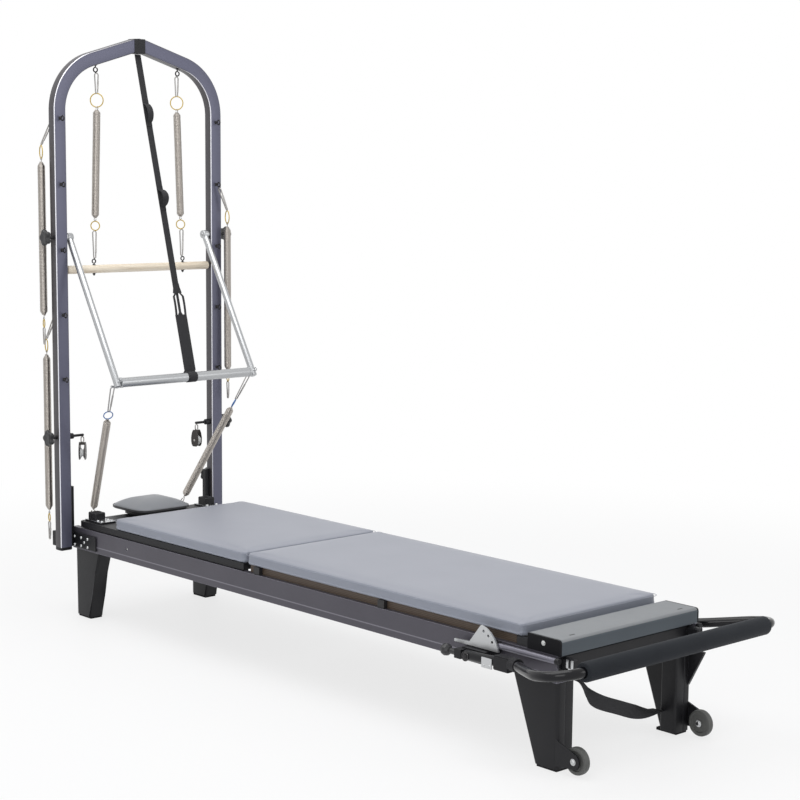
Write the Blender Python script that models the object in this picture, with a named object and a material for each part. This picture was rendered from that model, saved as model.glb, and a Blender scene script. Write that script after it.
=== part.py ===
"""Pilates reformer with a tower, set up flat as a mat, built piece by piece.

Metres, +Z up. X runs from the tower end (head) to the footbar end (foot), and the
near side of the machine is -Y. Sizes are written from the head end of the rails;
CENTRE_X moves the finished pieces so that the origin lies under the middle.
"""

import math

import bmesh
import bpy
from mathutils import Matrix, Vector

for old in list(bpy.data.objects):
    bpy.data.objects.remove(old, do_unlink=True)

# Clearances
SEAT_GAP = 0.0003
PAD_GAP = 0.0012
WIRE_GAP_LIMIT = 0.0004

# Rails and their two end beams
RAIL_LENGTH = 2.500
RAIL_OUTER_Y = 0.306
RAIL_BOTTOM_Z = 0.2645
RAIL_TOP_Z = 0.346
RAIL_WALL = 0.006
RAIL_TOP_FLANGE = 0.024
RAIL_TRACK_WIDTH = 0.070
RAIL_HOLE_X = 0.356
RAIL_HOLE_Z = 0.312
RAIL_HOLE_R = 0.006
BEAM_WIDTH = 0.050

# Legs
LEG_OUTER_Y = RAIL_OUTER_Y - 0.010
LEG_WIDTH = 0.066
HEAD_LEG_WIDTH = 0.055
GLIDE_HEIGHT = 0.008
GLIDE_INSET = 0.004
HEAD_LEG_X = (0.018, 0.098)
HEAD_LEG_TOP_X = 0.168
HEAD_LEG_WAIST_Z = 0.150
FOOT_LEG_X = (RAIL_LENGTH - 0.082, RAIL_LENGTH - 0.005)
FOOT_LEG_TOP_X = RAIL_LENGTH - 0.175

# Transport wheels
WHEEL_R = 0.041
WHEEL_WIDTH = 0.022
WHEEL_X = RAIL_LENGTH + 0.060
WHEEL_Z = 0.047
WHEEL_BORE_R = 0.0046
AXLE_R = 0.0040
BRACKET_WALL = 0.006

# Pads and the boards under them
PAD_HALF_WIDTH = RAIL_OUTER_Y - 0.0035
PAD_BOTTOM_Z = RAIL_TOP_Z + 0.026
PAD_TOP_Z = PAD_BOTTOM_Z + 0.042
PAD_CORNER_R = 0.022
CARRIAGE_PAD_X = (0.262, 1.0520)
MAT_PAD_X = (CARRIAGE_PAD_X[1] + 0.0025, RAIL_LENGTH - 0.138)
BOARD_HALF_WIDTH = RAIL_OUTER_Y - 0.006
CARRIAGE_BOARD_HEAD_X = 0.036
CARRIAGE_BOARD_BOTTOM_Z = RAIL_TOP_Z + 0.0033
MAT_BOARD_HALF_WIDTH = RAIL_OUTER_Y - 0.0183
MAT_BOARD_X = (CARRIAGE_PAD_X[1] + 0.018, RAIL_LENGTH - 0.178)
MAT_BLOCK_XS = (MAT_BOARD_X[0] + 0.035, MAT_BOARD_X[0] + 0.662)
MAT_BLOCK_LENGTH = 0.030

# Headrest
HEADREST_X = (-0.045, 0.190)
HEADREST_HALF_WIDTH = 0.124
HEADREST_TOP_Z = PAD_TOP_Z + 0.022
HEADREST_BOARD_TOP_Z = PAD_BOTTOM_Z + 0.021
HEADREST_PIVOT_X = CARRIAGE_PAD_X[0] - 0.016

# Carriage running gear
LOAD_WHEEL_R = 0.029
LOAD_WHEEL_WIDTH = 0.018
LOAD_WHEEL_Y = RAIL_OUTER_Y - 0.052
LOAD_WHEEL_XS = (0.160, 0.950)
GUIDE_WHEEL_R = 0.014
GUIDE_WHEEL_WIDTH = 0.010
GUIDE_WHEEL_XS = (0.260, 0.850)
GUIDE_PIN_R = 0.005
HANGER_WIDTH = 0.018
HANGER_LENGTH = 0.050

# Spring bar and the carriage springs hooked to it
SPRING_BAR_X = RAIL_LENGTH - 0.230
SPRING_BAR_SIZE = 0.030
CARRIAGE_SPRING_COUNT = 5
CARRIAGE_SPRING_PITCH = 0.080
CARRIAGE_SPRING_LENGTH = 0.370
CARRIAGE_SPRING_R = 0.013

# Standing platform
PLATFORM_X = (RAIL_LENGTH - 0.115, RAIL_LENGTH + 0.014)
PLATFORM_TOP_Z = RAIL_TOP_Z + 0.046
PLATFORM_HALF_WIDTH = RAIL_OUTER_Y - 0.004
CLIP_REACH = 0.046
CLIP_Y = (RAIL_OUTER_Y - 0.038, RAIL_OUTER_Y - 0.018)
CLIP_Z = (RAIL_BOTTOM_Z + 0.0355, RAIL_TOP_Z - 0.0075)
PLATFORM_CAP = 0.006
PLATFORM_NOSE_R = 0.010

# Footbar
FOOTBAR_TUBE_R = 0.015
FOOTBAR_REACH = 0.484
FOOTBAR_CURVE = 1.6
FOOTBAR_PIVOT_X = RAIL_LENGTH - 0.295
FOOTBAR_PIVOT_Z = RAIL_BOTTOM_Z + 0.0335
FOOTBAR_ARM_Y = RAIL_OUTER_Y + 0.060
FOOTBAR_FLARE_Y = RAIL_OUTER_Y + 0.176
FOOTBAR_CROSS_X = FOOTBAR_PIVOT_X + FOOTBAR_REACH
FOOTBAR_CROSS_Z = FOOTBAR_PIVOT_Z + 0.057
FOOTBAR_GRIP_R = 0.0285
FOOTBAR_BEND_R = 0.075
FOOTBAR_ROD_R = 0.0085
FOOTBAR_ROD_X = (RAIL_LENGTH - 0.205, RAIL_LENGTH + 0.016)
FOOTBAR_ROD_Z = RAIL_TOP_Z - 0.013
FOOTBAR_PLATE = 0.006
QUADRANT_R = 0.090
TUBE_END = 0.0115
LUG_X = (-0.055, -0.028)

# Tower
TOWER_X = 0.010
TOWER_Y = RAIL_OUTER_Y + 0.047
TUBE_DEPTH = 0.040
TUBE_WIDTH = 0.050
TUBE_WALL = 0.0025
TOWER_BOTTOM_Z = RAIL_BOTTOM_Z + 0.0065
ARCH_R = 0.200
ARCH_SLOPE = math.radians(17.0)
ARCH_APEX_Z = 2.152
ARCH_APEX_R = 0.060
EYEBOLT_TOP_Z = ARCH_APEX_Z - 0.282
EYEBOLT_STEP = 0.240
EYEBOLT_COUNT = 5
EYE_R = 0.0085
EYE_WIRE = 0.0026
EYE_REACH = 0.018
ARCH_EYE_Y = 0.185
BRACKET_HEIGHT = 0.229
BRACKET_BACK_HEIGHT = 0.082

# Springs that hang on the tower
COIL_R = 0.0145
COIL_END_R = 0.005
RING_R = 0.019
RING_WIRE = 0.0017
CLIP_LENGTH = 0.078
CLIP_WIDTH = 0.020
CLIP_WIRE = 0.0024

# Roll-down bar
DOWEL_R = 0.0155
DOWEL_HALF = TOWER_Y - 0.031
DOWEL_Z = ARCH_APEX_Z - 0.837
DOWEL_EYE_Y = ARCH_EYE_Y + 0.018
ROLLDOWN_COIL_Y = (ARCH_EYE_Y - 0.004, ARCH_EYE_Y + 0.010)
ROLLDOWN_COIL_Z = (ARCH_APEX_Z - 0.237, ARCH_APEX_Z - 0.656)

# Push-through bar and its two tensioned springs
PTB_PIVOT_Z = ARCH_APEX_Z - 0.716
PTB_Y = TOWER_Y - 0.043
PTB_ARM_R = 0.0125
PTB_CROSS_X = 0.313
PTB_CROSS_Z = PTB_PIVOT_Z - 0.516
PTB_CROSS_R = 0.0175
PTB_CROSS_HALF = TOWER_Y - 0.0658
PTB_CAP = 0.010
PTB_HOOK = (PTB_CROSS_X - 0.026, TOWER_Y - 0.042, PTB_CROSS_Z - 0.0165)
PTB_STUD_R = 0.003
ANCHOR_X = -0.030
ANCHOR_Y = 0.2025
ANCHOR_Z = RAIL_TOP_Z + 0.006
CURL_COUNT = 22
CURL_POINTS = 8
CURL_WIRE = 0.0030
SPRING_START = 0.060
SPRING_SHARE = 0.765
EYE_HALF = 0.011

# Pulleys and knobs
PULLEY_Y = TOWER_Y - 0.088
PULLEY_ARM_Z = 0.692
PULLEY_HEIGHT = 0.066
PULLEY_WIDTH = 0.024
PULLEY_DEPTH = 0.036
CHEEK = 0.004
SHEAVE_R = 0.019
SHEAVE_BORE_R = 0.0036
SHEAVE_PIN_R = 0.0030
KNOB_R = 0.031
KNOB_THICK = 0.020
KNOB_STEM_R = 0.008
BASE_KNOB_R = 0.027
BASE_KNOB_Z = TOWER_BOTTOM_Z + 0.203
BASE_KNOB_Y = TOWER_Y - 0.015

# Webbing
SAFETY_STRAP_WIDTH = 0.028
SAFETY_LOOP_WIDTH = 0.043
CARRY_STRAP_WIDTH = 0.045
WEBBING = 0.0024

# Stored springs: place of the hanging point, then top and foot of the coil
STORED_UPPER = (-0.040, -TOWER_Y - 0.039, EYEBOLT_TOP_Z - 0.147, EYEBOLT_TOP_Z - 0.735)
STORED_LOWER = (-0.055, -TOWER_Y - 0.021, EYEBOLT_TOP_Z - 0.860, EYEBOLT_TOP_Z - 1.472)
STORED_FAR = (0.058, TOWER_Y + 0.032, EYEBOLT_TOP_Z - 0.392, EYEBOLT_TOP_Z - 0.983)

# Worked out from the sizes above
POST_FRONT_X = TOWER_X + TUBE_DEPTH / 2
POST_BACK_X = TOWER_X - TUBE_DEPTH / 2
POST_INNER_Y = TOWER_Y - TUBE_WIDTH / 2
POST_OUTER_Y = TOWER_Y + TUBE_WIDTH / 2
BACK_X = STORED_LOWER[0] - 0.01528
FRONT_X = FOOTBAR_CROSS_X + FOOTBAR_GRIP_R
CENTRE_X = (BACK_X + FRONT_X) / 2
BOTH_SIDES = (-1, 1)


def material(name, colour, roughness, metallic=0.0):
    """A Principled material in the photographed colour."""
    made = bpy.data.materials.new(name)
    made.use_nodes = True
    shader = made.node_tree.nodes["Principled BSDF"]
    shader.inputs["Base Color"].default_value = (*colour, 1.0)
    shader.inputs["Roughness"].default_value = roughness
    shader.inputs["Metallic"].default_value = metallic
    return made


ANODISED = material("anodised_frame", (0.165, 0.160, 0.195), 0.42, 0.6)
BLACK_STEEL = material("black_powder_coat", (0.022, 0.022, 0.025), 0.45)
BLACK_PLASTIC = material("black_plastic", (0.020, 0.020, 0.022), 0.40)
SILVER = material("bright_aluminium", (0.72, 0.73, 0.74), 0.30, 1.0)
ZINC = material("zinc_plate", (0.75, 0.76, 0.77), 0.28, 1.0)
NICKEL = material("nickel_spring", (0.45, 0.41, 0.37), 0.30, 1.0)
VINYL = material("grey_vinyl", (0.36, 0.375, 0.42), 0.55)
DARK_VINYL = material("dark_vinyl", (0.15, 0.155, 0.17), 0.50)
PLYWOOD = material("stained_plywood", (0.14, 0.10, 0.07), 0.60)
DOWEL_WOOD = material("maple", (0.74, 0.60, 0.42), 0.50)
RUBBER = material("grey_rubber", (0.12, 0.12, 0.12), 0.80)
FOAM = material("black_foam", (0.025, 0.028, 0.032), 0.75)
WEB = material("black_webbing", (0.015, 0.015, 0.018), 0.85)
DECK = material("platform_top", (0.25, 0.26, 0.27), 0.60)


def add_object(name, mesh, finish, origin=(0.0, 0.0, 0.0)):
    """One named piece with its own finish, its origin on the given point."""
    origin = Vector(origin)
    mesh.transform(Matrix.Translation(-origin))
    mesh.materials.append(finish)
    piece = bpy.data.objects.new(name, mesh)
    piece.location = origin - Vector((CENTRE_X, 0.0, 0.0))
    bpy.context.collection.objects.link(piece)
    return piece


def piece(name, shape, finish, origin=(0.0, 0.0, 0.0), smooth=35.0):
    """A finished bmesh becomes one named piece."""
    bmesh.ops.recalc_face_normals(shape, faces=shape.faces[:])
    mesh = bpy.data.meshes.new(name)
    shape.to_mesh(mesh)
    shape.free()
    mesh.shade_smooth()
    mesh.set_sharp_from_angle(angle=math.radians(smooth))
    return add_object(name, mesh, finish, origin)


def solid(form, *sizes, **options):
    """One closed solid in a bmesh of its own, ready to be joined or cut."""
    shape = bmesh.new()
    form(shape, *sizes, **options)
    return shape


def helper(name, shape):
    """A shape that joins or cuts another piece and isn't a piece itself."""
    made = piece(name, shape, BLACK_STEEL)
    made.hide_render = True
    made.display_type = "WIRE"
    return made


def combine(target, shapes, operation):
    """Union or difference of a piece with one or more overlapping solids."""
    group = bpy.data.collections.new(f"{target.name}_{operation.lower()}")
    for number, shape in enumerate(shapes):
        made = helper(f"{target.name}_{operation.lower()}_{number}", shape)
        bpy.context.collection.objects.unlink(made)
        group.objects.link(made)
    bpy.context.scene.collection.children.link(group)
    group.hide_render = True
    step = target.modifiers.new(operation.lower(), "BOOLEAN")
    step.operation = operation
    step.operand_type = "COLLECTION"
    step.collection = group


def joined(name, shapes, finish, origin=(0.0, 0.0, 0.0), smooth=35.0):
    """One named piece made of overlapping solids."""
    made = piece(name, shapes[0], finish, origin, smooth)
    if len(shapes) > 1:
        combine(made, shapes[1:], "UNION")
    return made


def box(shape, low, high, chamfer=0.0):
    """A box between two corners, with an optional chamfer all round."""
    low, high = Vector(low), Vector(high)
    for axis in range(3):
        if low[axis] > high[axis]:
            low[axis], high[axis] = high[axis], low[axis]
    size = Matrix.Diagonal((*(high - low), 1.0))
    place = Matrix.Translation((low + high) / 2) @ size
    made = bmesh.ops.create_cube(shape, size=1.0, matrix=place)
    if chamfer:
        edges = list({edge for vert in made["verts"] for edge in vert.link_edges})
        bmesh.ops.bevel(shape, geom=edges, offset=chamfer, segments=1, affect="EDGES")


def frame_along(direction):
    """Two unit vectors square to a direction and to each other."""
    direction = Vector(direction).normalized()
    guide = Vector((0, 0, 1)) if abs(direction.z) < 0.9 else Vector((1, 0, 0))
    side = direction.cross(guide).normalized()
    return side, side.cross(direction).normalized()


def ring_of_verts(shape, centre, side, up, radius, count):
    """Verts on a circle, ready to be bridged to the next circle."""
    verts = []
    for step in range(count):
        angle = 2 * math.pi * step / count
        point = side * (radius * math.cos(angle)) + up * (radius * math.sin(angle))
        verts.append(shape.verts.new(Vector(centre) + point))
    return verts


def bridge(shape, first, second):
    """Quads between two loops of as many verts."""
    count = len(first)
    for step in range(count):
        after = (step + 1) % count
        shape.faces.new((first[step], first[after], second[after], second[step]))


def turned(shape, start, direction, profile, count=12):
    """A solid of revolution: profile lists (distance along, radius)."""
    direction = Vector(direction).normalized()
    side, up = frame_along(direction)
    loops = []
    for along, radius in profile:
        centre = Vector(start) + direction * along
        loops.append(ring_of_verts(shape, centre, side, up, radius, count))
    for first, second in zip(loops, loops[1:]):
        bridge(shape, first, second)
    shape.faces.new(loops[0])
    shape.faces.new(loops[-1])


def rod(shape, start, end, radius, count=12):
    """A round bar between two points."""
    length = (Vector(end) - Vector(start)).length
    turned(shape, start, Vector(end) - Vector(start), [(0, radius), (length, radius)], count)


def bored_disc(shape, centre, axis, outer, bore, width, count=16):
    """A wheel or washer: a disc with a hole through it."""
    axis = Vector(axis).normalized()
    side, up = frame_along(axis)
    loops = []
    for offset, radius in ((-0.5, bore), (-0.5, outer), (0.5, outer), (0.5, bore)):
        middle = Vector(centre) + axis * (offset * width)
        loops.append(ring_of_verts(shape, middle, side, up, radius, count))
    for first, second in zip(loops, loops[1:] + loops[:1]):
        bridge(shape, first, second)


def plate(shape, outline, plane, low, high):
    """An outline of (u, v) points extruded across its plane's third axis."""
    order = {"XZ": (0, 2, 1), "YZ": (1, 2, 0), "XY": (0, 1, 2)}[plane]
    loops = []
    for level in (low, high):
        loop = []
        for point in outline:
            place = [0.0, 0.0, 0.0]
            place[order[0]], place[order[1]], place[order[2]] = point[0], point[1], level
            loop.append(shape.verts.new(place))
        loops.append(loop)
    bridge(shape, loops[0], loops[1])
    shape.faces.new(loops[0])
    shape.faces.new(loops[1])


def swept(shape, path, radius, count=6, closed=False):
    """A round wire along a list of points, carried without twist."""
    path = [Vector(point) for point in path]
    total = len(path)
    loops = []
    side = None
    for index, point in enumerate(path):
        before = path[index - 1] if index or closed else point
        after = path[(index + 1) % total] if index < total - 1 or closed else point
        tangent = (after - before).normalized()
        if side is None:
            side = frame_along(tangent)[0]
        side = (side - tangent * side.dot(tangent)).normalized()
        up = tangent.cross(side)
        loops.append(ring_of_verts(shape, point, side, up, radius, count))
    for first, second in zip(loops, loops[1:]):
        bridge(shape, first, second)
    if closed:
        bridge(shape, loops[-1], loops[0])
    else:
        shape.faces.new(loops[0])
        shape.faces.new(loops[-1])


def link(shape, centre, long_axis, normal, length, width, wire, points=10, count=5):
    """A closed ring or a long oval link of round wire."""
    long_axis = Vector(long_axis).normalized()
    across = Vector(normal).cross(long_axis).normalized()
    path = []
    for step in range(points):
        angle = 2 * math.pi * step / points
        reach = long_axis * ((length / 2 - wire) * math.cos(angle))
        swing = across * ((width / 2 - wire) * math.sin(angle))
        path.append(Vector(centre) + reach + swing)
    swept(shape, path, wire, count, closed=True)


def eyebolt(shape, root, direction, reach=EYE_REACH, radius=EYE_R, normal=(0, 1, 0)):
    """One wire: a straight shank that ends in an almost closed eye."""
    direction = Vector(direction).normalized()
    across = Vector(normal).cross(direction).normalized()
    centre = Vector(root) + direction * reach
    path = [Vector(root), centre - direction * radius * 1.02]
    for step in range(1, 9):
        angle = math.pi + 2 * math.pi * step / 9.4
        turn = direction * math.cos(angle) + across * math.sin(angle)
        path.append(centre + turn * radius)
    swept(shape, path, EYE_WIRE, 4)


def spindle(shape, start, end, radius=COIL_R, tip=COIL_END_R, count=10):
    """A close-wound spring's outer shape, drawn in at both ends."""
    length = (Vector(end) - Vector(start)).length
    taper = 1.6 * radius
    profile = [(0, tip), (taper * 0.5, radius * 0.85), (taper, radius)]
    profile += [(length - along, wide) for along, wide in reversed(profile)]
    turned(shape, start, Vector(end) - Vector(start), profile, count)


def rounded_loop(x0, x1, half_width, corner, steps=4):
    """A rounded rectangle in plan, as (x, y) points."""
    points = []
    corners = ((x1, half_width, 0), (x0, half_width, 90))
    corners += ((x0, -half_width, 180), (x1, -half_width, 270))
    for x, y, start in corners:
        cx = x - corner if x == x1 else x + corner
        cy = y - corner if y > 0 else y + corner
        for step in range(steps + 1):
            angle = math.radians(start + 90 * step / steps)
            points.append((cx + corner * math.cos(angle), cy + corner * math.sin(angle)))
    return points


def cushion(shape, xs, half_width, zs, corner, crown, draw):
    """A pad: flat underside, sides drawn in between its edges, crowned top.

    zs holds the underside and the top at the middle. Each level is
    (inset from the outline, height above the underside).
    """
    thick = zs[1] - zs[0] - crown
    soft = thick * 0.30
    reach = min(half_width, (xs[1] - xs[0]) / 2) - soft * 1.1
    levels = [(soft * 0.55, 0.0), (soft * 0.10, soft * 0.45), (draw, thick * 0.5)]
    levels += [(0.0, thick - soft * 0.75), (soft * 0.30, thick - soft * 0.25)]
    levels += [(soft * 1.1, thick)]
    for share in (0.30, 0.62, 0.90):
        levels.append((soft * 1.1 + share * reach, thick + crown * (1 - (1 - share) ** 2)))
    loops = []
    for inset, height in levels:
        radius = max(corner - inset, corner * 0.25)
        outline = rounded_loop(xs[0] + inset, xs[1] - inset, half_width - inset, radius)
        loops.append([shape.verts.new((x, y, zs[0] + height)) for x, y in outline])
    for first, second in zip(loops, loops[1:]):
        bridge(shape, first, second)
    shape.faces.new(loops[0])
    shape.faces.new(loops[-1])


def star_head(shape, centre, axis, radius, thick, count=18):
    """The three-lobed head of a clamp knob."""
    axis = Vector(axis).normalized()
    side, up = frame_along(axis)
    loops = []
    for level in (-0.5, 0.5):
        loop = []
        for step in range(count):
            angle = 2 * math.pi * step / count
            reach = radius * (0.84 + 0.16 * math.cos(3 * angle))
            point = side * (reach * math.cos(angle)) + up * (reach * math.sin(angle))
            loop.append(shape.verts.new(Vector(centre) + axis * (level * thick) + point))
        loops.append(loop)
    bridge(shape, loops[0], loops[1])
    shape.faces.new(loops[0])
    shape.faces.new(loops[1])


def band(shape, path, widths, thick):
    """A flat strap: path points, and the half-width vector at each point."""
    path = [Vector(point) for point in path]
    loops = []
    for index, point in enumerate(path):
        after = path[min(index + 1, len(path) - 1)]
        before = path[max(index - 1, 0)]
        tangent = (after - before).normalized()
        half = Vector(widths[index])
        out = tangent.cross(half).normalized() * (thick / 2)
        corners = (point + half + out, point - half + out, point - half - out, point + half - out)
        loops.append([shape.verts.new(corner) for corner in corners])
    for first, second in zip(loops, loops[1:]):
        bridge(shape, first, second)
    shape.faces.new(loops[0])
    shape.faces.new(loops[-1])
    bmesh.ops.triangulate(shape, faces=shape.faces[:])


def rail_outline(side):
    """The rail's section in (y, z): outer web, wheel track below, flange on top."""
    outer = side * RAIL_OUTER_Y
    web = side * (RAIL_OUTER_Y - RAIL_WALL)
    flange = side * (RAIL_OUTER_Y - RAIL_TOP_FLANGE)
    track = side * (RAIL_OUTER_Y - RAIL_TRACK_WIDTH)
    low, high = RAIL_BOTTOM_Z, RAIL_TOP_Z
    outline = [(outer, low), (track, low), (track, low + RAIL_WALL), (web, low + RAIL_WALL)]
    outline += [(web, high - RAIL_WALL), (flange, high - RAIL_WALL), (flange, high), (outer, high)]
    return outline


# Side rails, each with the adjuster hole through its web
for name, side in (("rail_near", -1), ("rail_far", 1)):
    rail = piece(name, solid(plate, rail_outline(side), "YZ", 0.0, RAIL_LENGTH), ANODISED)
    hole_start = (RAIL_HOLE_X, side * (RAIL_OUTER_Y - 0.02), RAIL_HOLE_Z)
    hole_end = (RAIL_HOLE_X, side * (RAIL_OUTER_Y + 0.02), RAIL_HOLE_Z)
    combine(rail, [solid(rod, hole_start, hole_end, RAIL_HOLE_R, 12)], "DIFFERENCE")

# End beams sit in the rail channels, on the wheel tracks. The head beam carries the
# carriage's rubber stops and the two anchor posts of the push-through bar's springs;
# the foot beam carries the clips under the platform
beam_half = RAIL_OUTER_Y - RAIL_WALL - SEAT_GAP
beam_low = RAIL_BOTTOM_Z + RAIL_WALL + SEAT_GAP
beam_high = RAIL_TOP_Z - RAIL_WALL - SEAT_GAP
JOIN = 0.002
STOP_LENGTH = LOAD_WHEEL_XS[0] - HANGER_LENGTH / 2 - BEAM_WIDTH - SEAT_GAP
head_parts = [solid(box, (0.0, -beam_half, beam_low), (BEAM_WIDTH, beam_half, beam_high), 0.002)]
foot_x = RAIL_LENGTH - BEAM_WIDTH
foot_parts = [solid(box, (foot_x, -beam_half, beam_low), (RAIL_LENGTH, beam_half, beam_high),
                    0.002)]
for side in BOTH_SIDES:
    head_parts.append(solid(box, (BEAM_WIDTH - JOIN, side * (LOAD_WHEEL_Y - 0.029), beam_low + 0.022),
                            (BEAM_WIDTH + STOP_LENGTH, side * (LOAD_WHEEL_Y - 0.013),
                             RAIL_TOP_Z - 0.028), 0.002))
    head_parts.append(solid(box, (ANCHOR_X - 0.007, side * (ANCHOR_Y - 0.007), beam_low + 0.020),
                            (JOIN, side * (ANCHOR_Y + 0.007), beam_high - 0.004), 0.001))
    post_foot = (ANCHOR_X, side * ANCHOR_Y, beam_high - 0.004 - JOIN)
    head_parts.append(solid(rod, post_foot, (ANCHOR_X, side * ANCHOR_Y, ANCHOR_Z - 0.004),
                            0.005, 8))
    foot_parts.append(solid(box, (RAIL_LENGTH - JOIN, side * CLIP_Y[0], CLIP_Z[0]),
                            (RAIL_LENGTH + CLIP_REACH, side * CLIP_Y[1], CLIP_Z[1]), 0.004))
joined("head_end_beam", head_parts, BLACK_STEEL)
joined("foot_end_beam", foot_parts, BLACK_STEEL)

# Corner brackets: a spacer plate between post and rail, the bolted plate along the rail
# and the hook block behind the post
CORNER_END_X = 0.160
CORNER_Z = (TOWER_BOTTOM_Z + 0.0002, TOWER_BOTTOM_Z + 0.055)
CORNER_THICK = 0.006
SPACER_X = (POST_BACK_X - 0.024, 0.010)
corner_face = RAIL_OUTER_Y + SEAT_GAP + CORNER_THICK
for label, side in (("near", -1), ("far", 1)):
    rail_face = side * (RAIL_OUTER_Y + SEAT_GAP)
    spacer = [(SPACER_X[0], TOWER_BOTTOM_Z), (SPACER_X[1], TOWER_BOTTOM_Z)]
    spacer += [(SPACER_X[1], TOWER_BOTTOM_Z + BRACKET_HEIGHT)]
    spacer += [(POST_BACK_X + 0.002, TOWER_BOTTOM_Z + BRACKET_HEIGHT)]
    spacer += [(POST_BACK_X + 0.002, TOWER_BOTTOM_Z + BRACKET_BACK_HEIGHT)]
    spacer += [(SPACER_X[0], TOWER_BOTTOM_Z + BRACKET_BACK_HEIGHT)]
    parts = [solid(plate, spacer, "XZ", rail_face, side * (POST_INNER_Y - SEAT_GAP))]
    parts.append(solid(box, (SPACER_X[1] - 0.006, side * (RAIL_OUTER_Y + 0.0005), CORNER_Z[0]),
                       (CORNER_END_X, side * corner_face, CORNER_Z[1]), 0.0012))
    parts.append(solid(box, (POST_BACK_X - 0.030, side * (POST_INNER_Y - 0.008),
                             TOWER_BOTTOM_Z + 0.004), (POST_BACK_X - SEAT_GAP,
                       side * (TOWER_Y + 0.019), TOWER_BOTTOM_Z + 0.060), 0.002))
    bolts = [(0.0215 + 0.0435 * column, 0.009 + 0.031 * row) for column in range(3)
             for row in range(2)]
    for bolt_x, rise in bolts + [(0.086, 0.0245)]:
        head = (bolt_x, side * (corner_face - 0.001), CORNER_Z[0] + rise)
        parts.append(solid(turned, head, (0, side, 0),
                           [(0, 0.0055), (0.002, 0.0055), (0.0035, 0.0042)], 8))
    joined(f"corner_bracket_{label}", parts, BLACK_STEEL)

# Legs stand under the rails, each ending in a glide; the foot legs carry the plate and
# the axle of a transport wheel
leg_top = RAIL_BOTTOM_Z - SEAT_GAP
leg_low = GLIDE_HEIGHT
leg_inner_y = LEG_OUTER_Y - LEG_WIDTH
head_outline = [(HEAD_LEG_X[0], leg_low), (HEAD_LEG_X[1], leg_low)]
head_outline += [(HEAD_LEG_X[1] + 0.006, HEAD_LEG_WAIST_Z * 0.7)]
head_outline += [(HEAD_LEG_X[1] + 0.032, HEAD_LEG_WAIST_Z + 0.03)]
head_outline += [(HEAD_LEG_TOP_X, leg_top), (HEAD_LEG_X[0] - 0.004, leg_top)]
foot_outline = [(FOOT_LEG_X[0], leg_low), (FOOT_LEG_X[1], leg_low)]
foot_outline += [(FOOT_LEG_X[1], leg_top), (FOOT_LEG_TOP_X, leg_top)]
wheel_outer_y = LEG_OUTER_Y - BRACKET_WALL - 0.0015
wheel_y = wheel_outer_y - WHEEL_WIDTH / 2
for label, side in (("near", -1), ("far", 1)):
    for kind, outline, xs, wide in (("head", head_outline, HEAD_LEG_X, HEAD_LEG_WIDTH),
                                    ("foot", foot_outline, FOOT_LEG_X, LEG_WIDTH)):
        inner_y = LEG_OUTER_Y - wide
        parts = [solid(plate, outline, "XZ", side * inner_y, side * LEG_OUTER_Y)]
        parts.append(solid(box, (xs[0] + GLIDE_INSET, side * (inner_y + GLIDE_INSET), 0.0),
                           (xs[1] - GLIDE_INSET, side * (LEG_OUTER_Y - GLIDE_INSET),
                            GLIDE_HEIGHT + JOIN)))
        if kind == "foot":
            edge = FOOT_LEG_X[1] - JOIN
            fork = [(edge, 0.020), (WHEEL_X + 0.012, 0.026), (WHEEL_X + 0.022, WHEEL_Z)]
            fork += [(WHEEL_X + 0.012, WHEEL_Z + 0.021), (edge, 0.092)]
            parts.append(solid(plate, fork, "XZ", side * (LEG_OUTER_Y - BRACKET_WALL),
                               side * (LEG_OUTER_Y - 0.0005)))
            inner = side * (wheel_outer_y - WHEEL_WIDTH - 0.004)
            parts.append(solid(rod, (WHEEL_X, inner, WHEEL_Z),
                               (WHEEL_X, side * (LEG_OUTER_Y - 0.003), WHEEL_Z), AXLE_R, 10))
            parts.append(solid(turned, (WHEEL_X, side * (LEG_OUTER_Y - JOIN), WHEEL_Z),
                               (0, side, 0), [(0, 0.008), (0.004, 0.008), (0.006, 0.006)], 10))
        joined(f"{kind}_leg_{label}", parts, BLACK_STEEL)
    hub = (WHEEL_X, side * wheel_y, WHEEL_Z)
    piece(f"transport_wheel_{label}",
          solid(bored_disc, hub, (0, 1, 0), WHEEL_R, WHEEL_BORE_R, WHEEL_WIDTH, 24),
          RUBBER, hub)

# Standing platform: a nosed board across the rails, two ledges that carry the mat's
# foot end, and a black cap on each end
x0, x1 = PLATFORM_X
low = RAIL_TOP_Z + SEAT_GAP
nose = [(x0, low), (x1, low), (x1, PLATFORM_TOP_Z - PLATFORM_NOSE_R)]
for step in (1, 2, 3):
    angle = math.radians(30 * step)
    nose.append((x1 - PLATFORM_NOSE_R * (1 - math.cos(angle)),
                 PLATFORM_TOP_Z - PLATFORM_NOSE_R * (1 - math.sin(angle))))
nose.append((x0, PLATFORM_TOP_Z))
parts = [solid(plate, nose, "XZ", -PLATFORM_HALF_WIDTH, PLATFORM_HALF_WIDTH)]
rest_inner = MAT_BOARD_HALF_WIDTH + SEAT_GAP
for side in BOTH_SIDES:
    parts.append(solid(box, (MAT_BOARD_X[1] + 0.014, side * rest_inner, low),
                       (x0 + JOIN, side * (PLATFORM_HALF_WIDTH - 0.001),
                        PAD_BOTTOM_Z - SEAT_GAP)))
joined("standing_platform", parts, DECK)
for label, side in (("near", -1), ("far", 1)):
    cap_face = PLATFORM_HALF_WIDTH + SEAT_GAP
    parts = [solid(plate, nose, "XZ", side * cap_face, side * (cap_face + PLATFORM_CAP))]
    screw = ((x0 + x1) / 2, side * (cap_face + PLATFORM_CAP - 0.001), PLATFORM_TOP_Z - 0.019)
    parts.append(solid(turned, screw, (0, side, 0), [(0, 0.005), (0.003, 0.004)], 10))
    joined(f"platform_cap_{label}", parts, BLACK_PLASTIC)

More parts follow.
